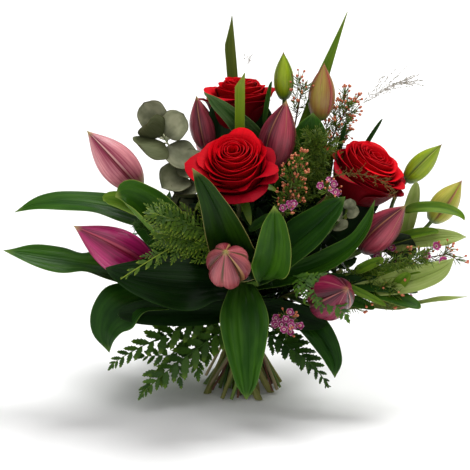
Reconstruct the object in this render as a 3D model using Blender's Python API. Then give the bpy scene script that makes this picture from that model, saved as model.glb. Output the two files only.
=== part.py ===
"""A hand-tied bouquet of red roses, lily buds and cut greens that stands on its own stems.

Every stem runs from a flat cut foot on the ground, through the twine at the waist, to its flower or
leaf. The feet spread like a tripod below the twine, and the stems fan out again above it. Buds and
lily leaves sit on the lily stems, a small clearance off them.

Every measure below is in millimetres: x to the right, y to the back, z up, z = 0 on the ground.
build_object turns them into metres, and the empty that carries all pieces puts the middle of the
bouquet's box over the origin.
"""

import math
from dataclasses import dataclass

import bpy
import numpy as np

MM = 0.001
GAP = 0.3

# The waist, where the twine holds the stems, and the feet, which spread and turn below it.
WAIST = (7.0, 0.0)
TWINE_MIDDLE = 57.0
TWINE_HEIGHT = 9.0
TWINE_THICKNESS = 1.6
TWINE_FLAT = 0.7
WAIST_LOW = TWINE_MIDDLE - 0.6 * TWINE_HEIGHT
WAIST_HIGH = TWINE_MIDDLE + 0.6 * TWINE_HEIGHT
FOOT_SPREAD = 50.0
FOOT_TWIST = math.radians(24)
FLARE_POWER = 1.4

# How the stems are gathered: they start spread by their lean, are pulled together step by step, and
# are pushed apart again wherever two overlap.
LEAN_AT = 0.35
MOST_LEAN = 1.25
SPREAD_AT_START = 60.0
PULL = 0.992
PULLS = 500
PUSHES = 8
PUSH_SHARE = 0.3
SETTLING = 60
CENTRING = 60
CENTRING_SHARE = 0.02
FAR = 1e6

# How many points a ring has, and how many rings a piece has.
ROUND_SIDES = 8
THIN_SIDES = 6
BUD_SIDES = 12
BLOOM_SIDES = 18
TWINE_SIDES = 32
FOOT_RINGS = (0.0, 0.35, 0.7)
WAIST_RING = len(FOOT_RINGS) + 1
RUN_RINGS = 8
LAST_RING = 0.96
LEAF_RINGS = 9
BUD_RINGS = 9
PEDICEL_RINGS = 4

# Leaves, stems, stalks and buds.
LEAF_DEPTH = 1.6
LEAF_FOLD = 0.22
LEAF_TURNS_BY = 0.35
LILY_STEM_RADIUS = 4.0
LILY_CROWN_RADIUS = 2.8
ROSE_STEM_RADIUS = 3.4
CALYX_SHARE = 0.19
CALYX_FROM = 0.9
PEDICEL_RADIUS = 1.9
LEAST_DEPTH_SHARE = 0.4
PEDICEL_LIFT = 40.0
BUD_LOBES = 0.05

# The turned outlines of a bloom, as (radius, height) shares: the outer petals are an open cup, and
# the inner petals fill it and stand over its rim. BLOOM_FOOT is how far the cup's foot lies below
# the middle of the bloom.
OUTER_PETALS = (
    (0, 0), (0.2, 0), (0.55, 0.12), (0.86, 0.38), (0.97, 0.66), (1.0, 0.82), (0.9, 0.88),
    (0.74, 0.78), (0.66, 0.58), (0.52, 0.38), (0.28, 0.28), (0, 0.27),
)
INNER_PETALS = (
    (0, 0.27), (0.28, 0.28), (0.52, 0.38), (0.66, 0.58), (0.72, 0.78), (0.66, 0.98),
    (0.44, 1.1), (0.2, 1.08), (0, 1.04),
)
BLOOM_FOOT = 0.55
PETALS_APART = 1.5 * GAP

# Directions that only start a cross product, away from every axis that they are crossed with.
ANY_LEVEL_WAY = (0.31, 0.95, 0.0)
ANY_UPWARD_WAY = (0.0, 0.3, 1.0)


@dataclass(frozen=True)
class Finish:
    """A plain surface: its colour, roughness and name."""

    name: str
    colour: tuple
    roughness: float = 0.5


ROSE_RED = Finish("rose_red", (0.42, 0.004, 0.012), 0.55)
BUD_PINK = Finish("bud_pink", (0.36, 0.07, 0.13), 0.4)
BUD_MAGENTA = Finish("bud_magenta", (0.24, 0.015, 0.08), 0.4)
BUD_GREEN = Finish("bud_green", (0.20, 0.26, 0.03), 0.4)
LEAF_DARK = Finish("leaf_dark", (0.018, 0.065, 0.016), 0.35)
LEAF_MID = Finish("leaf_mid", (0.04, 0.12, 0.02), 0.35)
LEAF_LIGHT = Finish("leaf_light", (0.15, 0.27, 0.05), 0.4)
FERN_GREEN = Finish("fern_green", (0.05, 0.11, 0.015), 0.6)
GREY_GREEN = Finish("grey_green", (0.17, 0.22, 0.15), 0.7)
STEM_GREEN = Finish("stem_green", (0.09, 0.13, 0.03), 0.6)
WAX_PINK = Finish("wax_pink", (0.32, 0.07, 0.05), 0.5)
GRASS = Finish("grass", (0.20, 0.18, 0.12), 0.7)
JUTE = Finish("jute", (0.30, 0.20, 0.10), 0.9)


@dataclass(frozen=True)
class Stem:
    """A stem through the twine. head is its upper end, heading the way it points there."""

    name: str
    head: tuple
    heading: tuple
    radius: float
    end_radius: float
    rise: float = 0.55
    bend: float = 0.8


@dataclass(frozen=True)
class Rose:
    """A rose. bloom is the middle of its petals, facing the way that it opens, and depth how deep the
    bloom is against its radius."""

    name: str
    bloom: tuple
    facing: tuple
    radius: float
    depth: float


@dataclass(frozen=True)
class Green:
    """A blade, frond or sprig whose stem runs through the twine and opens over its last part."""

    name: str
    tip: tuple
    heading: tuple
    facing: tuple
    radius: float
    half_width: float
    half_depth: float
    opens_at: float
    shape: str
    finish: Finish
    rise: float = 0.55
    bend: float = 0.8


@dataclass(frozen=True)
class Bud:
    """A lily bud and its own stalk, which leaves a lily stem at the height `seat`."""

    name: str
    stem: str
    seat: float
    base: tuple
    tip: tuple
    width: float
    finish: Finish


@dataclass(frozen=True)
class Leaf:
    """A leaf that leaves a stem at the height `seat`, on the side `off`, or towards its tip if that is
    None. lift is its angle to the stem's side there, heading the way that its tip points, and facing
    the way that its upper face looks."""

    name: str
    stem: str
    seat: float
    tip: tuple
    heading: tuple
    facing: tuple
    width: float
    finish: Finish
    lift: float = 35.0
    rise: float = 0.9
    bend: float = 0.7
    off: tuple = None


ROSES = (
    Rose("rose_centre", (-2, -68, 238), (-0.12, -0.46, 0.88), 44, 1.0),
    Rose("rose_top", (4, 18, 276), (0.05, -0.15, 0.98), 34, 1.3),
    Rose("rose_right", (121, -20, 214), (0.52, -0.50, 0.70), 37, 1.05),
)

LILY_STEMS = (
    Stem("lily_stem_left", (-62, -28, 165), (-0.6, -0.2, 0.8), LILY_STEM_RADIUS, LILY_CROWN_RADIUS),
    Stem("lily_stem_front", (6, -84, 148), (0.0, -0.75, 0.6), LILY_STEM_RADIUS, LILY_CROWN_RADIUS),
    Stem("lily_stem_top", (52, 6, 222), (0.2, 0.0, 1.0), LILY_STEM_RADIUS, LILY_CROWN_RADIUS),
    Stem("lily_stem_back", (-30, 30, 200), (-0.2, 0.2, 1.0), LILY_STEM_RADIUS, LILY_CROWN_RADIUS),
    Stem("lily_stem_right", (100, -34, 128), (0.8, -0.2, 0.5), LILY_STEM_RADIUS, LILY_CROWN_RADIUS),
    Stem("lily_stem_far_right", (150, -2, 160), (0.8, 0.0, 0.7), LILY_STEM_RADIUS, LILY_CROWN_RADIUS),
)

BUDS = (
    Bud("bud_upper_left", "lily_stem_left", 160, (-77, -30, 212), (-141, -45, 264), 36, BUD_PINK),
    Bud("bud_lower_left", "lily_stem_left", 134, (-77, -42, 136), (-151, -60, 179), 38, BUD_MAGENTA),
    Bud("bud_back_left", "lily_stem_back", 194, (-29, 15, 232), (-40, 10, 287), 24, BUD_PINK),
    Bud("bud_centre", "lily_stem_top", 205, (32, -25, 227), (46, -26, 293), 32, BUD_PINK),
    Bud("bud_front", "lily_stem_front", 145, (-5, -98, 141), (-9, -150, 179), 38, BUD_PINK),
    Bud("bud_right", "lily_stem_right", 124, (118, -38, 148), (160, -62, 198), 31, BUD_PINK),
    Bud("bud_lower_right", "lily_stem_right", 100, (76, -75, 108), (100, -128, 138), 38, BUD_MAGENTA),
    Bud("bud_top_green", "lily_stem_top", 218, (48, 20, 280), (49, 20, 326), 18, BUD_GREEN),
    Bud("bud_top_right", "lily_stem_top", 212, (79, 10, 262), (83, 10, 317), 25, BUD_GREEN),
    Bud("bud_far_right_upper", "lily_stem_far_right", 158, (161, 2, 205), (194, -2, 242), 21, BUD_GREEN),
    Bud("bud_far_right_lower", "lily_stem_far_right", 150, (185, -8, 168), (213, -10, 209), 25, BUD_GREEN),
    Bud("bud_behind", "lily_stem_back", 180, (-20, 78, 205), (-30, 128, 245), 30, BUD_PINK),
)

LEAVES = (
    Leaf("leaf_left_upper", "lily_stem_left", 150, (-208, -14, 179), (-1.0, 0.0, -0.35),
         (0.0, -0.6, 1.0), 30, LEAF_MID, 50, 1.0, 0.7, (-0.8, 0.6, 0.0)),
    Leaf("leaf_left_lower", "lily_stem_left", 118, (-216, -44, 150), (-1.0, 0.0, 0.3),
         (0.0, -0.8, 1.0), 36, LEAF_DARK, 35, 0.6),
    Leaf("leaf_left_drooping", "lily_stem_left", 100, (-116, -62, 56), (0.1, -0.1, -1.0),
         (-0.4, -1.0, 0.4), 44, LEAF_DARK, 35, 1.6, 1.2, (-1.0, -0.7, 0.0)),
    Leaf("leaf_left_rolled", "lily_stem_left", 142, (-114, -58, 194), (-0.8, -0.2, -0.5),
         (0.1, -0.9, 0.5), 50, LEAF_MID, 50, 1.4, 0.8, (-0.1, -1.0, 0.0)),
    Leaf("leaf_front_left", "lily_stem_front", 120, (-126, -84, 148), (-0.9, 0.1, 0.5),
         (0.0, -1.0, 0.35), 54, LEAF_DARK, 0, 0.9),
    Leaf("leaf_centre_left", "lily_stem_front", 137, (-41, -124, 252), (-0.5, 0.0, 1.0),
         (-0.2, -1.0, 0.3), 37, LEAF_MID, 35, 0.9, 0.7, (-1.0, -0.2, 0.0)),
    Leaf("leaf_centre_right", "lily_stem_front", 134, (36, -128, 221), (0.0, -0.1, 1.0),
         (0.1, -1.0, 0.2), 38, LEAF_LIGHT, 25, 0.9, 0.7, (1.0, -0.3, 0.0)),
    Leaf("leaf_front_drooping", "lily_stem_front", 127, (10, -130, 34), (0.0, 0.05, -1.0),
         (0.0, -1.0, 0.2), 48, LEAF_MID),
    Leaf("leaf_right_broad", "lily_stem_front", 121, (106, -82, 214), (0.5, 0.0, 0.6),
         (-0.2, -1.0, 0.4), 42, LEAF_DARK),
    Leaf("leaf_right_curving", "lily_stem_front", 112, (134, -92, 214), (0.15, 0.0, 1.0),
         (-0.2, -0.9, 0.6), 26, LEAF_DARK, 10, 0.9, 1.2),
    Leaf("leaf_right_drooping", "lily_stem_right", 92, (92, -82, 38), (0.1, -0.1, -1.0),
         (0.2, -1.0, 0.3), 28, LEAF_DARK, 25, 0.9, 0.7, (0.2, -1.0, 0.0)),
    Leaf("leaf_far_right_upper", "lily_stem_far_right", 142, (217, -26, 158), (1.0, 0.1, -0.1),
         (0.0, -0.8, 0.8), 24, LEAF_LIGHT, 20, 0.8, 0.7, (0.2, -1.0, 0.0)),
    Leaf("leaf_far_right_wavy", "lily_stem_right", 120, (202, -60, 147), (0.5, 0.1, 0.9),
         (0.1, -1.0, 0.5), 32, LEAF_LIGHT, -20, 0.9, 0.7, (0.2, -1.0, 0.0)),
    Leaf("leaf_far_right_lower", "lily_stem_right", 98, (216, -50, 107), (1.0, -0.1, 0.2),
         (0.0, -0.3, 1.0), 18, LEAF_LIGHT),
    Leaf("leaf_top_left", "rose_top_stem", 226, (-29, -36, 303), (-0.5, -0.1, 1.0),
         (-0.1, -1.0, 0.2), 17, LEAF_MID),
    Leaf("leaf_top_right", "lily_stem_top", 190, (78, -12, 276), (0.1, 0.0, 1.0),
         (0.1, -1.0, 0.1), 34, LEAF_DARK),
    Leaf("leaf_back_left", "lily_stem_back", 130, (-110, 105, 120), (-0.7, 0.4, -0.5),
         (-0.3, 0.5, 1.0), 44, LEAF_DARK),
    Leaf("leaf_back_middle", "lily_stem_back", 112, (10, 140, 110), (0.1, 0.9, -0.6),
         (0.0, 0.6, 1.0), 46, LEAF_MID),
    Leaf("leaf_back_right", "lily_stem_far_right", 108, (128, 112, 140), (0.6, 0.5, -0.4),
         (0.3, 0.5, 1.0), 44, LEAF_DARK, 35, 0.9, 0.7, (0.0, 1.0, 0.2)),
)

GREENS = (
    Green("blade_left", (-5, 62, 353), (-0.1, 0.0, 1.0), (0, -1, 0), 2.2, 5.0, 0.8, 0.25,
          "blade", LEAF_MID),
    Green("blade_right", (104, 30, 362), (0.35, 0.0, 1.0), (0, -1, 0), 2.2, 5.0, 0.8, 0.25,
          "blade", LEAF_LIGHT),
    Green("blade_centre", (4, -32, 318), (0.0, -0.2, 1.0), (0, -1, 0), 2.2, 5.0, 0.8, 0.3,
          "blade", LEAF_LIGHT),
    Green("fern_lower_left", (-88, -64, 16), (-0.4, -0.2, -1.0), (-0.3, -1.0, 0.5), 1.6, 34, 1.0, 0.3,
          "frond", FERN_GREEN, 0.7, 1.0),
    Green("fern_lower_right", (88, -54, 18), (0.5, -0.2, -1.0), (0.3, -1.0, 0.5), 1.6, 28, 1.0, 0.3,
          "frond", FERN_GREEN, 0.7, 1.0),
    Green("fern_left", (-104, -98, 138), (-0.8, -0.2, -0.5), (-0.1, -0.8, 0.8), 1.6, 20, 1.0, 0.5,
          "frond", FERN_GREEN, 2.0, 2.2),
    Green("fern_behind", (-40, 130, 60), (-0.2, 0.5, -1.0), (-0.2, 1.0, 0.5), 1.6, 36, 1.0, 0.35,
          "frond", FERN_GREEN, 0.9, 1.0),
    Green("eucalyptus", (-92, 8, 284), (-0.6, 0.0, 0.8), (0, -1, 0.3), 2.0, 14, 2.5, 0.55,
          "spindle", GREY_GREEN),
    Green("waxflower_top", (108, 14, 286), (0.4, 0.0, 1.0), (0, -1, 0), 1.5, 8, 3.0, 0.75,
          "spindle", WAX_PINK),
    Green("waxflower_centre", (58, -66, 226), (0.1, -0.1, 1.0), (0, -1, 0), 1.5, 8, 3.0, 0.7,
          "spindle", WAX_PINK),
    Green("waxflower_right", (214, -46, 147), (1.0, -0.1, 0.2), (0, -1, 0), 1.5, 7, 3.0, 0.7,
          "spindle", WAX_PINK),
    Green("asparagus_fern", (84, -22, 246), (0.2, 0.0, 1.0), (0, -1, 0), 1.5, 10, 2.0, 0.6,
          "spindle", FERN_GREEN),
    Green("panicum_grass", (180, 16, 300), (0.9, 0.0, 0.5), (0, -1, 0), 1.2, 7, 2.0, 0.6,
          "spindle", GRASS),
)


def unit(vectors):
    """The vector, or each row, at length 1."""
    vectors = np.asarray(vectors, float)
    return vectors / np.linalg.norm(vectors, axis=-1, keepdims=True)


def hermite(start, start_pull, end, end_pull, shares):
    """Points on the smooth curve that leaves start along start_pull and reaches end along end_pull."""
    t = np.asarray(shares, float)[:, None]
    leave = (1 + 2 * t) * (1 - t) ** 2 * np.asarray(start) + t * (1 - t) ** 2 * np.asarray(start_pull)
    arrive = t * t * (3 - 2 * t) * np.asarray(end) + t * t * (t - 1) * np.asarray(end_pull)
    return leave + arrive


def flare(height):
    """How much wider than at the waist the stems stand at this height, and how far they are turned."""
    drop = np.clip((WAIST_LOW - height) / WAIST_LOW, 0.0, 1.0)
    return drop**FLARE_POWER, FOOT_TWIST * drop**FLARE_POWER


def foot_part(slot, bundle_radius):
    """The lower run of a stem, from its foot to the top of the waist, which it passes upright."""
    points = []
    for share in FOOT_RINGS + (1.0,):
        spread, turn = flare(share * WAIST_LOW)
        scale = 1.0 + (FOOT_SPREAD / bundle_radius - 1.0) * spread
        x = scale * (slot[0] * math.cos(turn) - slot[1] * math.sin(turn))
        y = scale * (slot[0] * math.sin(turn) + slot[1] * math.cos(turn))
        points.append((WAIST[0] + x, WAIST[1] + y, share * WAIST_LOW))
    points.append((WAIST[0] + slot[0], WAIST[1] + slot[1], WAIST_HIGH))
    return np.array(points)


def upper_part(slot, head, heading, rise, bend, shares):
    """The run of a stem above the waist, which it leaves upright and ends along its heading."""
    start = np.array((WAIST[0] + slot[0], WAIST[1] + slot[1], WAIST_HIGH))
    head = np.asarray(head, float)
    reach = np.linalg.norm(head - start)
    return hermite(start, np.array((0, 0, rise * reach)), head, unit(heading) * bend * reach, shares)


def steepness(stem):
    """The way that a stem leans above the waist, longer the flatter it leaves, up to MOST_LEAN."""
    point = upper_part((0.0, 0.0), stem.head, stem.heading, stem.rise, stem.bend, [LEAN_AT])[0]
    lean = (point[:2] - WAIST) / max(point[2] - WAIST_HIGH, 1.0)
    return lean * min(1.0, MOST_LEAN / np.linalg.norm(lean))


def packed_slots(stems):
    """Where each stem passes the waist: circles pulled to the middle and pushed apart until they only
    touch. Each starts on the side that its own upper run leans to, the flattest outermost, so the stems
    above the waist don't cross."""
    spots = SPREAD_AT_START * np.array([steepness(stem) for stem in stems])
    reach = np.array([stem.radius + GAP / 2 for stem in stems])
    for step in range(PULLS + SETTLING):
        if step < PULLS:
            spots = spots * PULL
        for _ in range(PUSHES):
            apart = spots[:, None] - spots[None]
            distance = np.linalg.norm(apart, axis=2) + FAR * np.eye(len(stems))
            short = np.clip(reach[:, None] + reach[None] - distance, 0, None)
            push = apart / distance[..., None] * short[..., None]
            spots = spots + PUSH_SHARE * push.sum(axis=1)
    for _ in range(CENTRING):
        outer = np.linalg.norm(spots, axis=1) + reach
        spots = spots - CENTRING_SHARE * spots[np.argmax(outer)]
    return spots, (np.linalg.norm(spots, axis=1) + reach).max()


def sweep(points, side, half_widths, half_depths, fold=0.0, sides=ROUND_SIDES, lobes=0.0, end_way=None):
    """Rings along a line of points, and the line's direction at each. A ring is an ellipse, half_width
    along the side and half_depth across it, whose edges rise by fold times their distance from the
    middle. lobes swells three sides of it. end_way is the direction at the last point, if it is set."""
    points = np.asarray(points, float)
    tangents = unit(np.gradient(points, axis=0))
    if end_way is not None:
        tangents[-1] = unit(end_way)
    side = np.broadcast_to(np.asarray(side, float), points.shape)
    across = unit(side - tangents * (side * tangents).sum(axis=1, keepdims=True))
    normal = np.cross(across, tangents)
    angles = 2 * math.pi * np.arange(sides) / sides
    swell = 1 + lobes * np.cos(3 * angles)
    along = np.asarray(half_widths, float)[:, None] * np.cos(angles) * swell
    up = np.asarray(half_depths, float)[:, None] * np.sin(angles) * swell + fold * abs(along)
    rings = points[:, None] + across[:, None] * along[..., None] + normal[:, None] * up[..., None]
    return rings, tangents


def ring_faces(count, sides, pointed):
    """The faces that join each ring to the next and close both ends, facing out. The diagonals of the
    upper and lower side run the same way, so that a thin piece keeps its thickness where it twists."""
    faces = [tuple(range(sides))]
    last = count - 1 if pointed else count
    for ring in range(last - 1):
        for k in range(sides):
            a, b = ring * sides + k, ring * sides + (k + 1) % sides
            if k < sides // 2:
                faces += [(b, a, a + sides), (b, a + sides, b + sides)]
            else:
                faces += [(b, a, b + sides), (a, a + sides, b + sides)]
    end = (last - 1) * sides
    if pointed:
        faces += [(end + (k + 1) % sides, end + k, last * sides) for k in range(sides)]
    else:
        faces.append(tuple(end + k for k in reversed(range(sides))))
    return faces


def swept_solid(points, side, half_widths, half_depths, fold=0.0, sides=ROUND_SIDES, lobes=0.0,
                end_way=None, cut_foot=False):
    """Vertices and faces of a sweep, whose last ring becomes a point if it has no width. cut_foot slides
    the first ring along the stem onto the ground."""
    rings, tangents = sweep(points, side, half_widths, half_depths, fold, sides, lobes, end_way)
    if cut_foot:
        rings[0] -= tangents[0] * (rings[0][:, 2:] / tangents[0][2])
    pointed = half_widths[-1] == 0
    vertices = rings.reshape(-1, 3)
    if pointed:
        vertices = vertices[: (len(points) - 1) * sides + 1]
    return vertices, ring_faces(len(points), sides, pointed)


def turned_solid(profile, sides, base, axis):
    """Vertices and faces of a profile of (radius, height) turned about an axis through base. A point of
    no radius at either end closes it, and a profile with none becomes a ring."""
    axis = unit(axis)
    right = unit(np.cross(axis, ANY_LEVEL_WAY))
    front = np.cross(axis, right)
    angles = 2 * math.pi * np.arange(sides) / sides
    vertices, rows = [], []
    for radius, height in profile:
        if radius == 0:
            rows.append([len(vertices)] * sides)
            vertices.append(np.asarray(base) + axis * height)
            continue
        rows.append([len(vertices) + k for k in range(sides)])
        for angle in angles:
            outward = right * math.cos(angle) + front * math.sin(angle)
            vertices.append(np.asarray(base) + axis * height + outward * radius)
    if profile[0][0] != 0:
        rows.append(rows[0])
    faces = []
    for lower, upper in zip(rows, rows[1:]):
        for k in range(sides):
            near = (k + 1) % sides
            corners = (lower[k], lower[near], upper[near], upper[k])
            faces.append(tuple(dict.fromkeys(corners)))
    return np.array(vertices), faces


def leaf_outline(shares):
    """How wide a lily leaf is along its length: narrow at its seat, widest before its middle, and
    pointed, as (share + 0.03)^0.6 times (1 - share)^0.75."""
    shares = np.asarray(shares, float)
    outline = (shares + 0.03) ** 0.6 * (1 - shares) ** 0.75
    return outline / outline.max()


def opened(shape, shares):
    """How far a green has opened at each share of its opening part, from its stem to its tip. A blade
    opens at once and ends bluntly, a frond is widest before its middle, and a spindle at its middle."""
    if shape == "blade":
        return np.minimum(1.0, 4 * shares) * (1 - shares**14)
    if shape == "frond":
        outline = shares**0.55 * (1 - shares) ** 0.9
    else:
        outline = np.sin(math.pi * np.minimum(shares, 0.985)) ** 0.8
    return outline / outline.max()


def build_object(name, solid, finish, parent):
    """One piece of the bouquet, in metres, with its own material."""
    vertices, faces = solid
    mesh = bpy.data.meshes.new(name)
    mesh.from_pydata((vertices * MM).tolist(), [], faces)
    mesh.validate()
    mesh.shade_smooth()
    mesh.set_sharp_from_angle(angle=math.radians(50))
    material = bpy.data.materials.new(f"{name}_{finish.name}")
    material.use_nodes = True
    shader = material.node_tree.nodes["Principled BSDF"]
    shader.inputs["Base Color"].default_value = (*finish.colour, 1.0)
    shader.inputs["Roughness"].default_value = finish.roughness
    mesh.materials.append(material)
    piece = bpy.data.objects.new(name, mesh)
    piece.parent = parent
    bpy.context.scene.collection.objects.link(piece)
    return piece


def rose_head(rose):
    """The middle of the bloom's underside, where its stem ends."""
    return np.asarray(rose.bloom) - unit(rose.facing) * BLOOM_FOOT * rose.radius * rose.depth


def rose_stem(rose):
    """The stem of a rose, ending just under its petals."""
    head = rose_head(rose) - unit(rose.facing) * GAP
    calyx = CALYX_SHARE * rose.radius
    return Stem(f"{rose.name}_stem", tuple(head), rose.facing, ROSE_STEM_RADIUS, calyx)


def green_stem(green):
    """The stem of a blade, frond or sprig, up to its tip."""
    return Stem(green.name, green.tip, green.heading, green.radius, 0.0, green.rise, green.bend)


def stem_line(stem, slot, bundle_radius):
    """The points of a stem from its foot to its head, and the share of the upper run at each."""
    shares = np.append(np.linspace(0.0, 1.0, RUN_RINGS + 1)[1:-1], (LAST_RING, 1.0))
    lower = foot_part(slot, bundle_radius)
    upper = upper_part(slot, stem.head, stem.heading, stem.rise, stem.bend, shares)
    return np.vstack((lower, upper)), np.concatenate((np.zeros(len(lower)), shares))


def stem_radii(stem, shares):
    """The radius of a stem along its run. A rose's widens into its calyx only at the very end."""
    if stem.end_radius > stem.radius:
        shares = np.clip((shares - CALYX_FROM) / (1 - CALYX_FROM), 0, 1)
    return stem.radius + (stem.end_radius - stem.radius) * shares


def seat_on(line, radii, height, target, lift, depth, off=None):
    """Where a piece leaves a stem at a height, on the side `off` or towards its target, its way out, and
    the direction round the stem there."""
    upper = line[WAIST_RING + 1:]
    upper_radii = radii[WAIST_RING + 1:]
    point = np.array([np.interp(height, upper[:, 2], upper[:, k]) for k in range(3)])
    radius = np.interp(height, upper[:, 2], upper_radii)
    tangents = unit(np.gradient(upper, axis=0))
    tangent = unit([np.interp(height, upper[:, 2], tangents[:, k]) for k in range(3)])
    aim = np.asarray(target) - point if off is None else np.asarray(off, float)
    outward = unit(aim - tangent * (aim @ tangent))
    angle = math.radians(lift)
    way = outward * math.cos(angle) + tangent * math.sin(angle)
    return point + outward * (radius + GAP + depth * math.sin(angle)), way, np.cross(tangent, outward)


def bud_solid(bud, line, radii):
    """A bud on its stalk: the stalk runs from the stem to the bud's base, then the bud swells as the
    sine of share^0.8, to the power 0.75, and closes in a blunt tip."""
    base = np.asarray(bud.base, float)
    tip = np.asarray(bud.tip, float)
    root, way, _ = seat_on(line, radii, bud.seat, base, PEDICEL_LIFT, PEDICEL_RADIUS)
    reach = np.linalg.norm(base - root)
    axis = unit(tip - base)
    stalk = hermite(root, way * reach, base, axis * reach, np.linspace(0, 1, PEDICEL_RINGS))
    shares = np.linspace(0.0, 1.0, BUD_RINGS + 1)[1:]
    body = base + (tip - base) * shares[:, None]
    swell = np.sin(math.pi * shares**0.8) ** 0.75
    swell[-1] = 0.0
    widths = np.concatenate((np.full(PEDICEL_RINGS, PEDICEL_RADIUS), PEDICEL_RADIUS * (1 - shares)))
    fullness = (bud.width - PEDICEL_RADIUS) / 2
    widths += np.concatenate((np.zeros(PEDICEL_RINGS), fullness * swell))
    widths[-1] = 0.0
    points = np.vstack((stalk, body))
    side = unit(np.cross(axis, ANY_UPWARD_WAY))
    return swept_solid(points, side, widths, widths, sides=BUD_SIDES, lobes=BUD_LOBES)


def leaf_solid(leaf, line, radii):
    """A leaf from its seat on the stem to its tip, folded up a little along its middle rib. It starts
    flat against the stem and turns to its own facing over its first part."""
    tip = np.asarray(leaf.tip, float)
    root, way, around = seat_on(line, radii, leaf.seat, tip, leaf.lift, LEAF_DEPTH / 2, leaf.off)
    reach = np.linalg.norm(tip - root)
    shares = np.linspace(0.0, 1.0, LEAF_RINGS) ** 1.1
    points = hermite(root, way * leaf.rise * reach, tip, unit(leaf.heading) * leaf.bend * reach, shares)
    open_side = unit(np.cross(tip - root, leaf.facing))
    around = around if around @ open_side >= 0 else -around
    turned = np.clip(shares / LEAF_TURNS_BY, 0, 1)[:, None]
    side = (1 - turned) * around + turned * open_side
    widths = leaf.width / 2 * leaf_outline(shares)
    depths = LEAF_DEPTH / 2 * (1 - 0.5 * shares)
    return swept_solid(points, side, widths, depths, fold=LEAF_FOLD)


def green_solid(green, line, shares):
    """A blade, frond or sprig: a round stem that flattens and opens from opens_at on, to a point. The
    round part dies away as the cube of the opening, and the depth is the opened one after a third."""
    opening = np.clip((shares - green.opens_at) / (1 - green.opens_at), 0, 1)
    round_part = green.radius * (1 - opening**3)
    widths = round_part + (green.half_width - green.radius) * opened(green.shape, opening)
    widths[-1] = 0.0
    depths = round_part + (green.half_depth - green.radius) * np.minimum(1, 3 * opening)
    depths = np.maximum(depths, LEAST_DEPTH_SHARE * min(green.half_depth, green.radius))
    side = unit(np.cross(np.asarray(green.tip) - line[WAIST_RING], green.facing))
    return swept_solid(line, side, widths, depths, sides=THIN_SIDES, cut_foot=True)


def petal_profiles(rose):
    """The outlines of a bloom's outer petals and, just clear of them, of its inner petals."""
    deep = rose.radius * rose.depth
    outer = [(rose.radius * reach, deep * height) for reach, height in OUTER_PETALS]
    smaller = rose.radius - PETALS_APART
    inner = [(smaller * reach, deep * height + PETALS_APART) for reach, height in INNER_PETALS]
    return outer, inner


def build_roses(bouquet, lines):
    """Each rose as its stem, its outer petals and its inner petals."""
    for rose in ROSES:
        line, radii = lines[f"{rose.name}_stem"]
        side = (1.0, 0.0, 0.0)
        solid = swept_solid(line, side, radii, radii, end_way=rose.facing, cut_foot=True)
        build_object(f"{rose.name}_stem", solid, STEM_GREEN, bouquet)
        outlines = petal_profiles(rose)
        for part, outline in zip(("outer_petals", "inner_petals"), outlines):
            petals = turned_solid(outline, BLOOM_SIDES, rose_head(rose), rose.facing)
            build_object(f"{rose.name}_{part}", petals, ROSE_RED, bouquet)


def build_lilies(bouquet, lines):
    """The lily stems, the buds and the leaves that sit on them."""
    for stem in LILY_STEMS:
        line, radii = lines[stem.name]
        solid = swept_solid(line, (0.0, 1.0, 0.0), radii, radii, cut_foot=True)
        build_object(stem.name, solid, STEM_GREEN, bouquet)
    for bud in BUDS:
        build_object(bud.name, bud_solid(bud, *lines[bud.stem]), bud.finish, bouquet)
    for leaf in LEAVES:
        build_object(leaf.name, leaf_solid(leaf, *lines[leaf.stem]), leaf.finish, bouquet)


def build_twine(bouquet, bundle_radius):
    """The twine: a band round the waist, just clear of the outermost stems."""
    inner = (bundle_radius + GAP) / math.cos(math.pi / TWINE_SIDES)
    outer = inner + TWINE_THICKNESS
    low, high = -TWINE_HEIGHT / 2, TWINE_HEIGHT / 2
    profile = [(inner, low), (outer, TWINE_FLAT * low), (outer, TWINE_FLAT * high), (inner, high)]
    middle = (WAIST[0], WAIST[1], TWINE_MIDDLE)
    build_object("binding_twine", turned_solid(profile, TWINE_SIDES, middle, (0, 0, 1)), JUTE, bouquet)


def centre_on_origin(bouquet):
    """Moves the empty so that the middle of the whole box stands over the origin."""
    corners = np.array([v.co for piece in bouquet.children for v in piece.data.vertices])
    middle = (corners.min(axis=0) + corners.max(axis=0)) / 2
    bouquet.location = (-middle[0], -middle[1], 0.0)


def main():
    """Clears the scene and builds the bouquet."""
    for old in list(bpy.data.objects):
        bpy.data.objects.remove(old, do_unlink=True)
    bouquet = bpy.data.objects.new("bouquet", None)
    bpy.context.scene.collection.objects.link(bouquet)
    stems = [rose_stem(rose) for rose in ROSES] + list(LILY_STEMS) + [green_stem(g) for g in GREENS]
    slots, bundle_radius = packed_slots(stems)
    lines = {}
    runs = {}
    for stem, slot in zip(stems, slots):
        line, shares = stem_line(stem, slot, bundle_radius)
        lines[stem.name] = (line, stem_radii(stem, shares))
        runs[stem.name] = shares
    build_twine(bouquet, bundle_radius)
    build_roses(bouquet, lines)
    build_lilies(bouquet, lines)
    for green in GREENS:
        solid = green_solid(green, lines[green.name][0], runs[green.name])
        build_object(green.name, solid, green.finish, bouquet)
    centre_on_origin(bouquet)


main()
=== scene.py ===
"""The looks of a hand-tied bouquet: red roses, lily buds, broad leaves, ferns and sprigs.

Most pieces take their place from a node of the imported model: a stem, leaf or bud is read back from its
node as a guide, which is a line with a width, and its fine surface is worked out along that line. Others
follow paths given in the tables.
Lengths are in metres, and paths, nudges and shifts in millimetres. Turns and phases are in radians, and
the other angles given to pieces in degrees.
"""

import logging
import math
from dataclasses import dataclass, field, replace
from enum import Enum

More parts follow.
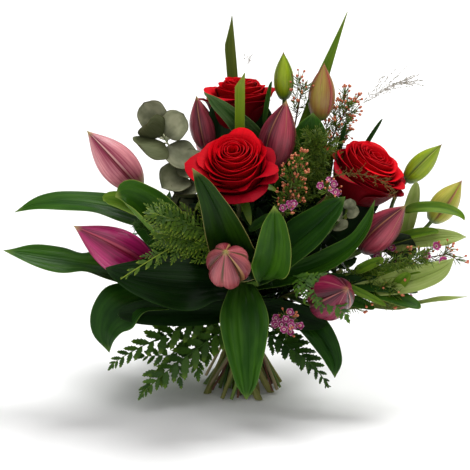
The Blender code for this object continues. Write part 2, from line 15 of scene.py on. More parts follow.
import bpy
import numpy as np
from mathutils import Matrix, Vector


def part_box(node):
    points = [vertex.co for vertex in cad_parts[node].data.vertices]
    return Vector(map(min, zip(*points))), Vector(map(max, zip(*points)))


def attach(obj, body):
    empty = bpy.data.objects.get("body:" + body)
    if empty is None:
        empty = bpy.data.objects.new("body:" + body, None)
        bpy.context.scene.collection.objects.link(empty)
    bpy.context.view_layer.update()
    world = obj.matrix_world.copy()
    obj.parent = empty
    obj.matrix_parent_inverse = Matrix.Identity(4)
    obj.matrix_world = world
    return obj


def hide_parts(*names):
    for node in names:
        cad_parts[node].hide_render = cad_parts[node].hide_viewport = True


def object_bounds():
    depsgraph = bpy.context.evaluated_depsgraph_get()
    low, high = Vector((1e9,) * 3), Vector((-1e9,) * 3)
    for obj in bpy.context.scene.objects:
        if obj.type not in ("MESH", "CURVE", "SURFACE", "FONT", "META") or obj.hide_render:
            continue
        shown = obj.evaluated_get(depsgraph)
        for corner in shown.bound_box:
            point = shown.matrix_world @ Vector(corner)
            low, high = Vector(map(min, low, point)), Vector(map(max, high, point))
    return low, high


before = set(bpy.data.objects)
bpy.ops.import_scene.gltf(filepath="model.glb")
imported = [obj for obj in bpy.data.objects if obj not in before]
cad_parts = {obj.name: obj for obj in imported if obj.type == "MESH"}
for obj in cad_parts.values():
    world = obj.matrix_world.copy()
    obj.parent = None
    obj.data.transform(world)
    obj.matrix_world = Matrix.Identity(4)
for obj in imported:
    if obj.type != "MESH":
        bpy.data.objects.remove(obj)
CAD_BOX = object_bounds()

Array = np.ndarray
Chance = np.random.Generator
Material = bpy.types.Material
Triple = tuple[float, float, float]
Ends = tuple[Triple, Triple]
LOG = logging.getLogger("bouquet")
MM = 0.001
GOLDEN_ANGLE = math.radians(137.508)
MOST_HOPS = 60
SHARP_ANGLE = math.radians(70)
UNMOVED: Ends = ((0, 0, 0), (0, 0, 0))


# ---- small sums


def unit(vectors: Array) -> Array:
    """Each row of an array of vectors at length 1."""
    vectors = np.asarray(vectors, float)
    return vectors / np.maximum(np.linalg.norm(vectors, axis=-1, keepdims=True), 1e-12)


def even(count: int) -> Array:
    """A number of shares from 0 to 1, evenly spaced."""
    return np.linspace(0, 1, count)


def along(first: Array, second: Array) -> Array:
    """The dot product of each pair of rows, kept as a column."""
    return (first * second).sum(axis=-1, keepdims=True)


def smooth(values: Array, low: float, high: float) -> Array:
    """0 below low, 1 above high, and a smooth step of 3t^2 - 2t^3 between them."""
    t = np.clip((np.asarray(values, float) - low) / (high - low), 0.0, 1.0)
    return t * t * (3 - 2 * t)


def bell(values: Array, middle: float, width: float) -> Array:
    """A bell curve of height 1: e to minus the square of the distance from the middle over the width."""
    return np.exp(-(((np.asarray(values, float) - middle) / width) ** 2))


def hermite(t: Array, start: Array, leave: Array, end: Array, arrive: Array) -> Array:
    """The cubic Hermite blend at t: from start, leaving along leave, to end, arriving along arrive."""
    first = (1 + 2 * t) * (1 - t) ** 2 * start + t * (1 - t) ** 2 * leave
    return first + t * t * (3 - 2 * t) * end + t * t * (t - 1) * arrive


def through(keys: Array, rows: Array, at: Array) -> Array:
    """Smooth values between given ones: Hermite blends whose slopes are the mean slopes there.

    Args:
        keys: Where the rows are given, rising.
        rows: The values given there, one row each.
        at: Where values are wanted.

    Returns:
        One row of values for each entry of at.
    """
    slopes = np.gradient(rows, keys, axis=0)
    spot = np.clip(np.searchsorted(keys, at, side="right") - 1, 0, len(keys) - 2)
    span = keys[spot + 1] - keys[spot]
    t = (at - keys[spot]) / span
    if rows.ndim > 1:
        t, span = t[:, None], span[:, None]
    return hermite(t, rows[spot], span * slopes[spot], rows[spot + 1], span * slopes[spot + 1])


def ways_along(line: Array) -> Array:
    """The direction of a line at each of its points."""
    return unit(np.gradient(line, axis=0))


def run_along(line: Array) -> Array:
    """How far along a line each of its points lies."""
    return np.concatenate(([0.0], np.cumsum(np.linalg.norm(np.diff(line, axis=0), axis=1))))


def spots_on(line: Array, shares: Array) -> tuple[Array, Array]:
    """The points of a line at shares of it, and the line's direction there."""
    keys = even(len(line))
    return through(keys, line, shares), unit(through(keys, ways_along(line), shares))


def frames_along(line: Array, start_way: Array) -> tuple[Array, Array, Array]:
    """Directions carried along a line with no twist: each is the one before it, made square to the line.

    Args:
        line: Points of the line.
        start_way: A direction that the across direction starts near.

    Returns:
        The line's own direction, the across direction and the up direction at each point.
    """
    tangents = ways_along(line)
    across = np.zeros_like(line)
    way = np.asarray(start_way, float)
    for row, tangent in enumerate(tangents):
        way = way - tangent * (way @ tangent)
        way = way / np.linalg.norm(way)
        across[row] = way
    return tangents, across, np.cross(across, tangents)


# ---- guides


@dataclass(frozen=True)
class Guide:
    """A line with a width, read back from the rings of a CAD node.

    centres are its points from the seat to the tip, across and up the directions over its width and
    out of its upper face, widths its half width, and share how far along each point lies.
    """

    centres: Array
    across: Array
    up: Array
    widths: Array
    share: Array

    @classmethod
    def free(cls, start: Triple, leave: Triple, end: Triple, arrive: Triple, face: Triple = (0, -1, 0.3),
             half_width: float = 5.0) -> "Guide":
        """A guide along a Hermite curve, for a piece that has no node. All is in millimetres.

        Args:
            start: Where it starts.
            leave: The way it starts, as long as it pulls.
            end: Its tip.
            arrive: The way its tip points, as long as it pulls.
            face: Where its upper face looks.
            half_width: Its greatest half width.

        Returns:
            The guide.
        """
        line = curve(*(np.array(spot) * MM for spot in (start, leave, end, arrive)), 30)
        share = even(30)
        tangents = ways_along(line)
        across = unit(np.cross(tangents, face))
        outline = (share + 0.03) ** 0.6 * (1 - share) ** 0.75
        return cls(line, across, np.cross(across, tangents), half_width * MM * outline / outline.max(), share)

    @classmethod
    def of(cls, name: str) -> "Guide":
        """Reads a swept node back as rings.

        All corners the same number of edges away from a pointed tip are one ring. A stem has no such
        tip, so its rings are counted from its foot.

        Args:
            name: The node.

        Returns:
            The guide, from the node's seat or foot to its tip.
        """
        points, hops = corner_hops(name)
        guess = np.array([ring_evenness(row) for row in hops])
        if guess.min() == 0:
            level = hops[int(np.argmin(guess))]
            level = level.max() - level
        else:
            foot = points[:, 2] < points[:, 2].min() + 0.01 * MM
            level = hops[foot].min(axis=0)
        rings = [points[level == step] for step in range(level.max() + 1)]
        centres = np.array([ring.mean(axis=0) for ring in rings])
        tangents = ways_along(centres)
        across, up, widths = np.zeros_like(centres), np.zeros_like(centres), np.zeros(len(rings))
        way = None
        for row, ring in enumerate(rings):
            if len(ring) == 1:
                across[row], up[row] = across[row - 1], up[row - 1]
                continue
            offset = ring - centres[row]
            way = widest_way(offset, way)
            reach = offset @ way
            edges = offset[[int(np.argmax(reach)), int(np.argmin(reach))]].mean(axis=0)
            across[row], widths[row] = way, (reach.max() - reach.min()) / 2
            up[row] = edges - edges @ tangents[row] * tangents[row]
        normal = unit(np.cross(across, tangents))
        fold = up.sum(axis=0)
        if np.linalg.norm(fold) > 0.2 * MM and (normal @ fold).sum() < 0:
            across, normal = -across, -normal
        run = run_along(centres)
        return cls(centres, across, normal, widths, run / run[-1])

    def at(self, shares: Array) -> "Guide":
        """The same guide at other shares of its length.

        Args:
            shares: Where its points shall lie, from 0 to 1.

        Returns:
            The guide, with smooth values between its own.
        """
        centres = through(self.share, self.centres, shares)
        across = unit(through(self.share, self.across, shares))
        tangents = ways_along(centres)
        across = unit(across - tangents * along(across, tangents))
        widths = np.maximum(through(self.share, self.widths, shares), 0.0)
        return Guide(centres, across, np.cross(across, tangents), widths, np.asarray(shares, float))

    def spot(self, share: float, last: float = 1.0) -> "Guide":
        """The guide just before a share and at it, which is last at most."""
        return self.at(np.array((share - 0.01, min(share, last))))

    def way_at(self, shares: Array) -> Array:
        """The direction of the line at each share."""
        return unit(through(self.share, ways_along(self.centres), shares))

    def drawn(self, middle: Triple, tip: Triple) -> "Guide":
        """The same guide with its middle and its tip drawn aside, in millimetres, along a Bezier curve."""
        share = self.share[:, None]
        moved = self.centres + np.array(middle) * MM * 2 * share * (1 - share) + np.array(tip) * MM * share**2
        return replace(self, centres=moved)


def guide_of(name: str, path: Guide | None, nudge: Ends = UNMOVED) -> tuple[Guide, tuple[str, ...]]:
    """The guide of a piece and the nodes it replaces: its own path and none, or its node's guide, nudged."""
    return (path, ()) if path is not None else (Guide.of(name).drawn(*nudge), (name,))


def corner_hops(name: str) -> tuple[Array, Array]:
    """The merged corners of a node, and how many edges lie between each two of them.

    Args:
        name: The node.

    Returns:
        The corners, and a square table of edge counts.
    """
    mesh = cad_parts[name].data
    places = np.zeros(len(mesh.vertices) * 3)
    mesh.vertices.foreach_get("co", places)
    mesh.calc_loop_triangles()
    triangles = np.zeros(len(mesh.loop_triangles) * 3, int)
    mesh.loop_triangles.foreach_get("vertices", triangles)
    points, merged = np.unique(np.round(places.reshape(-1, 3), 6), axis=0, return_inverse=True)
    corners = merged.reshape(-1)[triangles].reshape(-1, 3)
    touching = np.zeros((len(points), len(points)), bool)
    for first, second in ((0, 1), (1, 2), (2, 0)):
        touching[corners[:, first], corners[:, second]] = True
        touching[corners[:, second], corners[:, first]] = True
    hops = np.full(touching.shape, -1)
    reached = np.eye(len(points), dtype=bool)
    hops[reached] = 0
    step = 0
    while not reached.all() and step < MOST_HOPS:
        step += 1
        wider = (reached.astype(np.float32) @ touching.astype(np.float32)) > 0
        hops[wider & ~reached] = step
        reached |= wider
    return points, hops


def ring_evenness(row: Array) -> int:
    """0 if every ring of corners round this one is as large as the next, as round a pointed tip."""
    sizes = np.bincount(row[row >= 0])[1:]
    return int(sizes.max() - sizes.min()) if len(sizes) > 4 else 99


def widest_way(offset: Array, before: Array | None) -> Array:
    """The direction in which a ring is widest, turned to agree with the ring before it.

    Args:
        offset: The ring's corners, from its middle.
        before: The direction of the ring before, if there is one.

    Returns:
        The direction.
    """
    way = np.linalg.svd(offset, full_matrices=False)[2][0]
    if before is None:
        return way
    reach = np.abs(offset @ way).max()
    if reach < 1.05 * np.abs(offset @ before).max():
        way = before
    return way if way @ before > 0 else -way


# ---- building meshes


@dataclass
class Skin:
    """The points and faces of one piece while it is put together.

    points holds blocks of corners, faces blocks of corner numbers, and grain a pair of surface
    coordinates for each corner of each face: how far along the shape, and how far across it. side is
    0 on a leaf's upper face and 1 on its underside, and tint differs from part to part.
    """

    points: list[Array] = field(default_factory=list)
    faces: list[Array] = field(default_factory=list)
    grain: list[Array] = field(default_factory=list)
    side: list[Array] = field(default_factory=list)
    tint: list[Array] = field(default_factory=list)
    count: int = 0

    def add(self, points: Array, faces: Array, grain: Array, side: float | Array = 0.0,
            tint: float | Array = 0.5) -> None:
        """Adds a block of corners with its faces.

        Args:
            points: The corners.
            faces: Corner numbers within the block, one face each row.
            grain: The surface coordinates of each corner of each face.
            side: 0 for the upper face and 1 for the underside.
            tint: From 0 to 1, for all or for each corner.
        """
        self.points.append(points)
        self.more_faces(faces, grain, self.count)
        self.side.append(np.broadcast_to(side, len(points)))
        self.tint.append(np.broadcast_to(tint, len(points)))
        self.count += len(points)

    def more_faces(self, faces: Array, grain: Array, start: int) -> None:
        """Adds faces between corners that are there already, numbered from start."""
        self.faces.append(faces + start)
        self.grain.append(grain)

    def add_tube(self, rings: Array, run: Array, tint: float | Array = 0.5,
                 reach: Array | None = None) -> None:
        """Adds a closed tube.

        Args:
            rings: The corners, one ring each row, turning from across to up.
            run: How far along each ring lies.
            tint: The number that the whole tube has, or one for each corner.
            reach: How far across each corner of a ring lies. Where it falls back, it has reached 1.
        """
        rows, sides = rings.shape[:2]
        start = self.count
        reach = np.arange(sides) / sides if reach is None else reach
        after = np.roll(reach, -1)
        after = np.where(after < reach, 1.0, after)
        left, right = np.tile(reach, rows - 1), np.tile(after, rows - 1)
        low, high = np.repeat(run[:-1], sides), np.repeat(run[1:], sides)
        grain = np.stack((np.stack((low, high, high, low), 1), np.stack((left, left, right, right), 1)), 2)
        self.add(rings.reshape(-1, 3), grid_quads(rows, sides, True)[:, [0, 3, 2, 1]], grain, 0.0, tint)
        foot = np.arange(sides)[None]
        for ring, at in ((foot, run[0]), (foot[:, ::-1] + (rows - 1) * sides, run[-1])):
            self.more_faces(ring, np.tile((at, 0.5), (1, sides, 1)), start)

    def add_sheet(self, grid: Array, thickness: Array | float, run: Array | None = None,
                  reach: Array | None = None, tint: float = 0.5) -> None:
        """Adds a thin closed sheet: the grid moved half the thickness to each side, joined at its edge.

        Args:
            grid: Points with rows along the sheet and columns across it.
            thickness: The thickness, for all or for each point.
            run: How far along each row lies.
            reach: How far across each column lies.
            tint: The number that the whole sheet has.
        """
        rows, columns = grid.shape[:2]
        run = even(rows) if run is None else run
        reach = even(columns) if reach is None else reach
        normal = unit(np.cross(np.gradient(grid, axis=1), np.gradient(grid, axis=0)))
        aside = normal * np.broadcast_to(thickness, (rows, columns))[..., None] / 2
        surface = np.stack(np.meshgrid(run, reach, indexing="ij"), axis=2).reshape(-1, 2)
        start, number = self.count, rows * columns
        quads = grid_quads(rows, columns, wrap=False)
        self.add((grid + aside).reshape(-1, 3), quads, surface[quads], 0.0, tint)
        quads = quads[:, [0, 3, 2, 1]]
        self.add((grid - aside).reshape(-1, 3), quads, surface[quads], 1.0, tint)
        border = grid_border(rows, columns)
        after = np.roll(border, -1)
        strip = np.stack((after, border, border + number, after + number), axis=1)
        self.more_faces(strip, surface[strip % number], start)

    def add_copies(self, other: "Skin", places: Array, turns: Array, tints: Array) -> None:
        """Adds turned, sized and placed copies of a small shape.

        Args:
            other: The shape.
            places: Where its origin comes, one row for each copy.
            turns: For each copy, a row for each of its three axes, as long as the copy is large.
            tints: The tint of each copy.
        """
        base = np.concatenate(other.points)
        start, size, copies = self.count, len(base), len(places)
        points = np.einsum("pk,nkx->npx", base, turns) + places[:, None]
        self.points.append(points.reshape(-1, 3))
        self.side.append(np.tile(np.concatenate(other.side), copies))
        self.tint.append(np.repeat(tints, size))
        self.count += copies * size
        shift = np.arange(copies)[:, None, None] * size
        for faces, grain in zip(other.faces, other.grain):
            many = (faces[None] + shift).reshape(-1, faces.shape[1])
            self.more_faces(many, np.tile(grain, (copies, 1, 1)), start)

    def to_object(self, name: str, material: Material) -> bpy.types.Object:
        """The finished piece as a Blender object at the origin, with its surface coordinates.

        Args:
            name: The piece's name.
            material: Its material.

        Returns:
            The object.
        """
        mesh = bpy.data.meshes.new(name)
        points = np.concatenate(self.points).astype(np.float32)
        corners = np.concatenate([block.ravel() for block in self.faces])
        sizes = np.concatenate([np.full(len(block), block.shape[1]) for block in self.faces])
        mesh.vertices.add(len(points))
        mesh.vertices.foreach_set("co", points.ravel())
        mesh.loops.add(len(corners))
        mesh.loops.foreach_set("vertex_index", corners.astype(np.int32))
        mesh.polygons.add(len(sizes))
        starts = np.concatenate(([0], np.cumsum(sizes)[:-1]))
        mesh.polygons.foreach_set("loop_start", starts.astype(np.int32))
        grain = mesh.uv_layers.new(name="grain")
        values = np.concatenate([block.reshape(-1, 2) for block in self.grain]).astype(np.float32)
        grain.uv.foreach_set("vector", values.ravel())
        for label, blocks in (("side", self.side), ("tint", self.tint)):
            layer = mesh.attributes.new(label, "FLOAT", "POINT")
            layer.data.foreach_set("value", np.concatenate(blocks).astype(np.float32))
        mesh.update(calc_edges=True)
        mesh.shade_smooth()
        mesh.set_sharp_from_angle(angle=SHARP_ANGLE)
        mesh.materials.append(material)
        return new_object(name, mesh)


def new_object(name: str, data: bpy.types.ID) -> bpy.types.Object:
    """A new object in the scene, for a mesh, a lamp or a camera."""
    made = bpy.data.objects.new(name, data)
    bpy.context.scene.collection.objects.link(made)
    return made


def grid_quads(rows: int, columns: int, wrap: bool) -> Array:
    """Corner numbers of the quads of a grid, which turn from across to along.

    Args:
        rows: How many rows of corners.
        columns: How many corners in a row.
        wrap: Whether the last column is joined to the first.

    Returns:
        Four corner numbers for each quad.
    """
    row = np.arange(rows - 1)[:, None] * columns
    column = np.arange(columns if wrap else columns - 1)[None]
    after = (column + 1) % columns
    quads = np.stack((row + column, row + after, row + columns + after, row + columns + column), axis=2)
    return quads.reshape(-1, 4)


def grid_border(rows: int, columns: int) -> Array:
    """Corner numbers once round the edge of a grid, turning as its quads do."""
    numbers = np.arange(rows * columns).reshape(rows, columns)
    return np.concatenate((numbers[0, :-1], numbers[:-1, -1], numbers[-1, :0:-1], numbers[:0:-1, 0]))


def tube_rings(line: Array, across: Array, up: Array, radii: Array, sides: int,
               outline: Array | None = None) -> Array:
    """Rings round a line: the middle plus radius times (across cos + up sin), times the outline.

    Args:
        line: The points of the line.
        across: The direction of angle 0 at each point.
        up: The direction of a quarter turn at each point.
        radii: The radius at each point.
        sides: How many corners a ring has.
        outline: A factor on the radius for each ring and corner, if it isn't round.

    Returns:
        The corners, rings by sides by three.
    """
    angle = 2 * math.pi * np.arange(sides) / sides
    radius = radii[:, None] * (1.0 if outline is None else outline) * np.ones(sides)
    out = across[:, None] * np.cos(angle)[:, None] + up[:, None] * np.sin(angle)[:, None]
    return line[:, None] + out * radius[..., None]


def add_twig(skin: Skin, line: Array, radii: Array | float, sides: int = 6, tint: float = 0.5) -> None:
    """Adds a round twig along a line of points, with a radius for all or for each of them."""
    _, across, up = frames_along(line, square_to(line[1] - line[0]))
    rings = tube_rings(line, across, up, np.broadcast_to(radii, len(line)), sides)
    skin.add_tube(rings, even(len(line)), tint)


def square_to(way: Array) -> Array:
    """Some direction square to each way given, level where it can be.

    Args:
        way: The ways.

    Returns:
        The directions.
    """
    way = unit(way)
    aside = np.stack((-way[..., 1], way[..., 0], np.zeros(way.shape[:-1])), axis=-1)
    level = np.linalg.norm(aside, axis=-1, keepdims=True)
    return unit(np.where(level > 0.05, aside, np.array((1.0, 0.0, 0.0))))


def around(way: Array, angle: Array | float) -> Array:
    """The direction square to each way given that lies at an angle round it."""
    aside = square_to(way)
    return aside * np.cos(angle) + np.cross(way, aside) * np.sin(angle)


def turned_frames(way: Array, face: Array, size: Array) -> Array:
    """The three axes of each copy of a shape.

    Args:
        way: Where the shape's y points, for each copy.
        face: Roughly where its z points.
        size: How large each copy is.

    Returns:
        Three rows of three for each copy.
    """
    way = unit(way)
    face = unit(face - way * along(face, way))
    return np.stack((np.cross(way, face), way, face), axis=1) * size[:, None, None]


def curve(start: Array, leave: Array, end: Array, arrive: Array, count: int) -> Array:
    """Evenly spaced points of a Hermite curve."""
    return hermite(even(count)[:, None], start, leave, end, arrive)


def put(skin: Skin, name: str, finish: "Shade", slot: str, *nodes: str) -> None:
    """Makes a piece, lets it ride with the bouquet, and hides the CAD nodes that it stands for.

    Args:
        skin: Its points and faces.
        name: The piece's name.
        finish: Its finish.
        slot: The record's material slot; not used.
        nodes: The CAD nodes that it stands for.
    """
    piece = skin.to_object(name, finish.material())
    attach(piece, "root")
    if nodes:
        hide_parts(*nodes)
    LOG.info("%s: %d faces", name, len(piece.data.polygons))


# ---- finishes

Colour = Triple
Value = float | bpy.types.NodeSocket
Paint = Value | Colour


class Recipe:
    """The node tree of one material, written as short calls."""

    def __init__(self, name: str, colour: Colour = (1.0, 1.0, 1.0)) -> None:
        """Starts a material that has only its shader and output, with a colour to paint over.

        Args:
            name: The finish's name.
            colour: The colour.
        """
        self.material = bpy.data.materials.new(f"{name}_finish")
        self.material.use_nodes = True
        self.tree = self.material.node_tree
        self.shader = self.tree.nodes["Principled BSDF"]
        self.colour: Paint = colour

    def feed(self, socket: bpy.types.NodeSocket, value: Paint) -> None:
        """Links a socket to another, or sets its number or colour.

        Args:
            socket: The socket that takes the value.
            value: The other socket, the number or the colour.
        """
        if isinstance(value, bpy.types.NodeSocket):
            self.tree.links.new(value, socket)
        elif isinstance(value, tuple):
            socket.default_value = (*value, 1.0) if len(socket.default_value) == 4 else value
        else:
            socket.default_value = value

    def grain(self) -> tuple[Value, Value]:
        """The coordinates of a spot on the shape's surface.

        Returns:
            How far along the shape, and how far across it, the spot lies.
        """
        layer = self.tree.nodes.new("ShaderNodeUVMap")
        layer.uv_map = "grain"
        parts = self.tree.nodes.new("ShaderNodeSeparateXYZ")
        self.feed(parts.inputs[0], layer.outputs["UV"])
        return parts.outputs["X"], parts.outputs["Y"]

    def number(self, name: str) -> Value:
        """A number that the mesh carries, such as side or tint."""
        read = self.tree.nodes.new("ShaderNodeAttribute")
        read.attribute_name = name
        return read.outputs["Fac"]

    def sum(self, operation: str, first: Value, second: Value = 0.0, third: Value = 0.0) -> Value:
        """A sum of one to three values.

        Args:
            operation: Its name on Blender's Math node.
            first: The first value.
            second: The second value.
            third: The third value.

        Returns:
            Its result.
        """
        node = self.tree.nodes.new("ShaderNodeMath")
        node.operation = operation
        for socket, value in zip(node.inputs, (first, second, third)):
            self.feed(socket, value)
        return node.outputs[0]

    def times(self, first: Value, second: Value) -> Value:
        """One number times another."""
        return self.sum("MULTIPLY", first, second)

    def line(self, value: Value, slope: float, start: float) -> Value:
        """A number times a slope, plus a start."""
        return self.sum("MULTIPLY_ADD", value, slope, start)

    def from_middle(self, reach: Value) -> Value:
        """How far out from the middle a spot lies, 1 at both edges."""
        return self.sum("ABSOLUTE", self.line(reach, 2.0, -1.0))

    def step(self, value: Value, low: float, high: float) -> Value:
        """A smooth step of a value.

        Args:
            value: The value.
            low: Where the step starts at 0.
            high: Where it reaches 1. It may be below low, which turns the step round.

        Returns:
            The step.
        """
        node = self.tree.nodes.new("ShaderNodeMapRange")
        node.interpolation_type = "SMOOTHSTEP"
        turned = float(low > high)
        for socket, number in zip(node.inputs, (value, min(low, high), max(low, high), turned, 1 - turned)):
            self.feed(socket, number)
        return node.outputs[0]

    def noise(self, scale: float, stretch: tuple[float, float] | None = None, detail: float = 3.0) -> Value:
        """Noise over the object, or over its surface coordinates.

        Args:
            scale: How dense it is.
            stretch: How dense it is along and across the surface, if it follows the surface.
            detail: How many finer layers it has.

        Returns:
            The noise, from 0 to 1.
        """
        node = self.tree.nodes.new("ShaderNodeTexNoise")
        node.inputs["Scale"].default_value = scale
        node.inputs["Detail"].default_value = detail
        if stretch is None:
            place = self.tree.nodes.new("ShaderNodeTexCoord").outputs["Object"]
        else:
            run, reach = self.grain()
            join = self.tree.nodes.new("ShaderNodeCombineXYZ")
            self.feed(join.inputs[0], self.times(run, stretch[0]))
            self.feed(join.inputs[1], self.times(reach, stretch[1]))
            self.feed(join.inputs[2], self.times(self.number("tint"), 37.0))
            place = join.outputs[0]
        self.feed(node.inputs["Vector"], place)
        return node.outputs[0]

    def blend(self, share: Value, low: Paint, high: Paint, mode: str = "MIX") -> Value:
        """A colour between two, or another mix of them.

        Args:
            share: How much of the second colour there is.
            low: The first colour.
            high: The second colour.
            mode: The mix's name on Blender's Mix node.

        Returns:
            The colour.
        """
        node = self.tree.nodes.new("ShaderNodeMix")
        node.data_type = "RGBA"
        node.blend_type = mode
        self.feed(node.inputs[0], share)
        self.feed(node.inputs[6], low)
        self.feed(node.inputs[7], high)
        return node.outputs[2]

    def paint(self, share: Value, colour: Paint) -> None:
        """Lays a colour over the one so far, by a share from 0 to 1."""
        self.colour = self.blend(share, self.colour, colour)

    def shade(self, share: Value) -> None:
        """Multiplies the colour so far by a number."""
        self.colour = self.blend(1.0, self.colour, share, "MULTIPLY")

    def relief(self, height: Value, depth: float) -> None:
        """Raises the surface.

        Args:
            height: A height from 0 to 1.
            depth: How far a height of 1 raises it.
        """
        node = self.tree.nodes.new("ShaderNodeBump")
        node.inputs["Strength"].default_value = 1.0
        node.inputs["Distance"].default_value = depth
        self.feed(node.inputs["Height"], height)
        self.feed(self.shader.inputs["Normal"], node.outputs[0])

    def done(self, roughness: Value, specular: float = 0.5) -> Material:
        """Sets the shader's colour, roughness and specular level.

        Args:
            roughness: The roughness.
            specular: The specular level.

        Returns:
            The material.
        """
        sockets = self.shader.inputs
        for name, value in (("Base Color", self.colour), ("Roughness", roughness),
                            ("Specular IOR Level", specular)):
            self.feed(sockets[name], value)
        return self.material


@dataclass(frozen=True)
class PetalFinish:
    """Velvety petals with fine veins along them. Their colour is painted near black at their foot and darker
    on their outer faces as shade, and bright at the rim as a painted highlight.
    """

    name: str
    foot: Colour
    body: Colour
    rim: Colour
    outermost_colour: Colour

    def material(self) -> Material:
        """The tint is a petal's age, and the outermost petals are deep crimson.

        Returns:
            The material.
        """
        recipe = Recipe(self.name, self.foot)
        run, _ = recipe.grain()
        streaks, clouds = recipe.noise(1.0, (2.0, 30.0)), recipe.noise(60.0)
        # Painted shade and highlight: near black at the foot, deep in the bloom, and bright at the rim.
        recipe.paint(recipe.step(run, 0.25, 0.8), self.body)
        recipe.paint(recipe.step(run, 0.72, 1.0), self.rim)
        recipe.paint(recipe.step(recipe.number("tint"), 0.55, 1.0), self.outermost_colour)
        recipe.shade(recipe.times(recipe.line(streaks, 0.5, 0.72), recipe.line(clouds, 0.35, 0.82)))
        # Painted shade: the outer face of each petal, side 0, is darker than its inner face.
        recipe.shade(recipe.line(recipe.number("side"), 0.56, 0.44))
        recipe.relief(streaks, 0.3 * MM)
        return recipe.done(recipe.line(clouds, 0.2, 0.45), specular=0.06)


@dataclass(frozen=True)
class BudFinish:
    """A lily bud: its body, paler streaks along it, the margin beside each seam, the seam, the tip and
    the foot, with a green stalk."""

    name: str
    body: Colour
    streak: Colour
    margin: Colour
    seam: Colour
    tip: Colour
    foot: Colour
    sutures: float = 0.0
    stalk: Colour = (0.10, 0.17, 0.03)

    def material(self) -> Material:
        """The coordinate across runs from seam to seam of a tepal.

        Returns:
            The material.
        """
        recipe = Recipe(self.name, self.body)
        run, reach = recipe.grain()
        streaks, clouds = recipe.noise(1.0, (1.6, 26.0), 5.0), recipe.noise(1.0, (4.0, 5.0), 2.0)
        edge = recipe.from_middle(reach)
        # Painted highlight: the middle of each tepal, its belly, takes more of the paler streak colour.
        belly = recipe.times(recipe.step(edge, 0.78, 0.15), recipe.step(run, 0.05, 0.4))
        share = recipe.line(recipe.step(streaks, 0.30, 0.72), 0.50, -0.08)
        share = recipe.sum("ADD", share, recipe.times(belly, 0.62))
        recipe.paint(recipe.times(share, recipe.line(clouds, 1.1, 0.35)), self.streak)
        # Painted shade: darker towards the seams, in the grooves where the tepals meet; the thin seam line
        # painted later is the bud's own colour.
        recipe.paint(recipe.times(recipe.step(edge, 0.80, 0.97), 0.6), self.seam)
        beside = recipe.times(recipe.step(reach, 0.905, 0.94), recipe.step(reach, 0.985, 0.96))
        recipe.paint(recipe.times(beside, recipe.line(recipe.step(run, 0.25, 0.95), 0.7, 0.25)), self.margin)
        recipe.paint(recipe.step(edge, 0.965, 0.99), self.seam)
        rib = recipe.times(recipe.step(edge, 0.075, 0.015), recipe.step(run, 0.45, 0.95))
        recipe.paint(recipe.times(rib, 0.7), self.margin)
        groove = recipe.times(recipe.step(edge, 0.11, 0.03), recipe.step(run, 0.3, 0.7))
        recipe.paint(recipe.times(groove, self.sutures), self.seam)
        recipe.paint(recipe.step(run, 0.90, 0.995), self.tip)
        recipe.paint(recipe.step(run, 0.22, 0.02), self.foot)
        recipe.colour = recipe.blend(recipe.number("tint"), self.stalk, recipe.colour)
        recipe.relief(streaks, 0.6 * MM)
        return recipe.done(recipe.line(streaks, 0.2, 0.20), specular=0.38)


@dataclass(frozen=True)
class LeafFinish:
    """A leaf with parallel veins: its upper face dark between lighter bands, its underside and rim, which on
    green leaves is a painted highlight. It is painted darker towards its foot, as shade.
    """

    name: str
    dark: Colour
    light: Colour
    under: Colour
    rim: Colour
    veins: float = 9.0
    gloss: float = 0.3
    strength: float = 0.3

    def material(self) -> Material:
        """Vein lines are dark where a sine across the leaf is low.

        Returns:
            The material.
        """
        recipe = Recipe(self.name, self.dark)
        run, reach = recipe.grain()
        fine, broad = recipe.noise(1.0, (3.0, 70.0), 4.0), recipe.noise(1.0, (2.5, 3.0), 2.0)
        lines = recipe.step(recipe.sum("SINE", recipe.times(reach, self.veins * 2 * math.pi)), -0.55, -0.98)
        recipe.paint(recipe.step(broad, 0.3, 0.7), self.light)
        recipe.paint(recipe.times(fine, 0.3), self.dark)
        recipe.paint(recipe.times(lines, self.strength), self.dark)
        # Painted shade: each leaf darkens towards its foot, which lies deep in the bouquet; the tint varies
        # it from leaf to leaf.
        tint = recipe.line(recipe.number("tint"), 0.5, 0.75)
        recipe.shade(recipe.times(tint, recipe.line(recipe.step(run, 0.02, 0.45), 0.55, 0.45)))
        recipe.paint(recipe.number("side"), recipe.blend(recipe.times(fine, 0.3), self.under, self.light))
        # Painted highlight: on the green leaves the rim colour, much lighter than the face, is laid along the
        # edges and the tip; on the grey eucalyptus it is a darker margin.
        outer = recipe.step(recipe.from_middle(reach), 0.955, 0.99)
        outer = recipe.sum("MAXIMUM", outer, recipe.step(run, 0.93, 1.0))
        recipe.paint(recipe.times(outer, 0.7), self.rim)
        recipe.relief(recipe.sum("MULTIPLY_ADD", lines, -self.strength, fine), 0.2 * MM)
        return recipe.done(recipe.line(fine, 0.16, self.gloss - 0.05), specular=0.10)


@dataclass(frozen=True)
class PlainFinish:
    """Small parts: a colour that drifts to a second one, from part to part and in fine spots."""

    name: str
    first: Colour
    second: Colour
    tip: Colour
    roughness: float = 0.5
    spots: float = 600.0
    depth: float = 0.2 * MM
    under: Colour | None = None

    def material(self) -> Material:
        """The tint goes from the first colour to the second.

        Returns:
            The material.
        """
        recipe = Recipe(self.name, self.first)
        run, _ = recipe.grain()
        spots = recipe.noise(self.spots)
        recipe.paint(recipe.number("tint"), self.second)
        recipe.paint(recipe.step(run, 0.6, 1.0), self.tip)
        if self.under is not None:
            recipe.paint(recipe.number("side"), self.under)
        recipe.shade(recipe.line(spots, 0.8, 0.6))
        recipe.relief(spots, self.depth)
        return recipe.done(recipe.line(spots, 0.2, self.roughness - 0.1), specular=0.25)


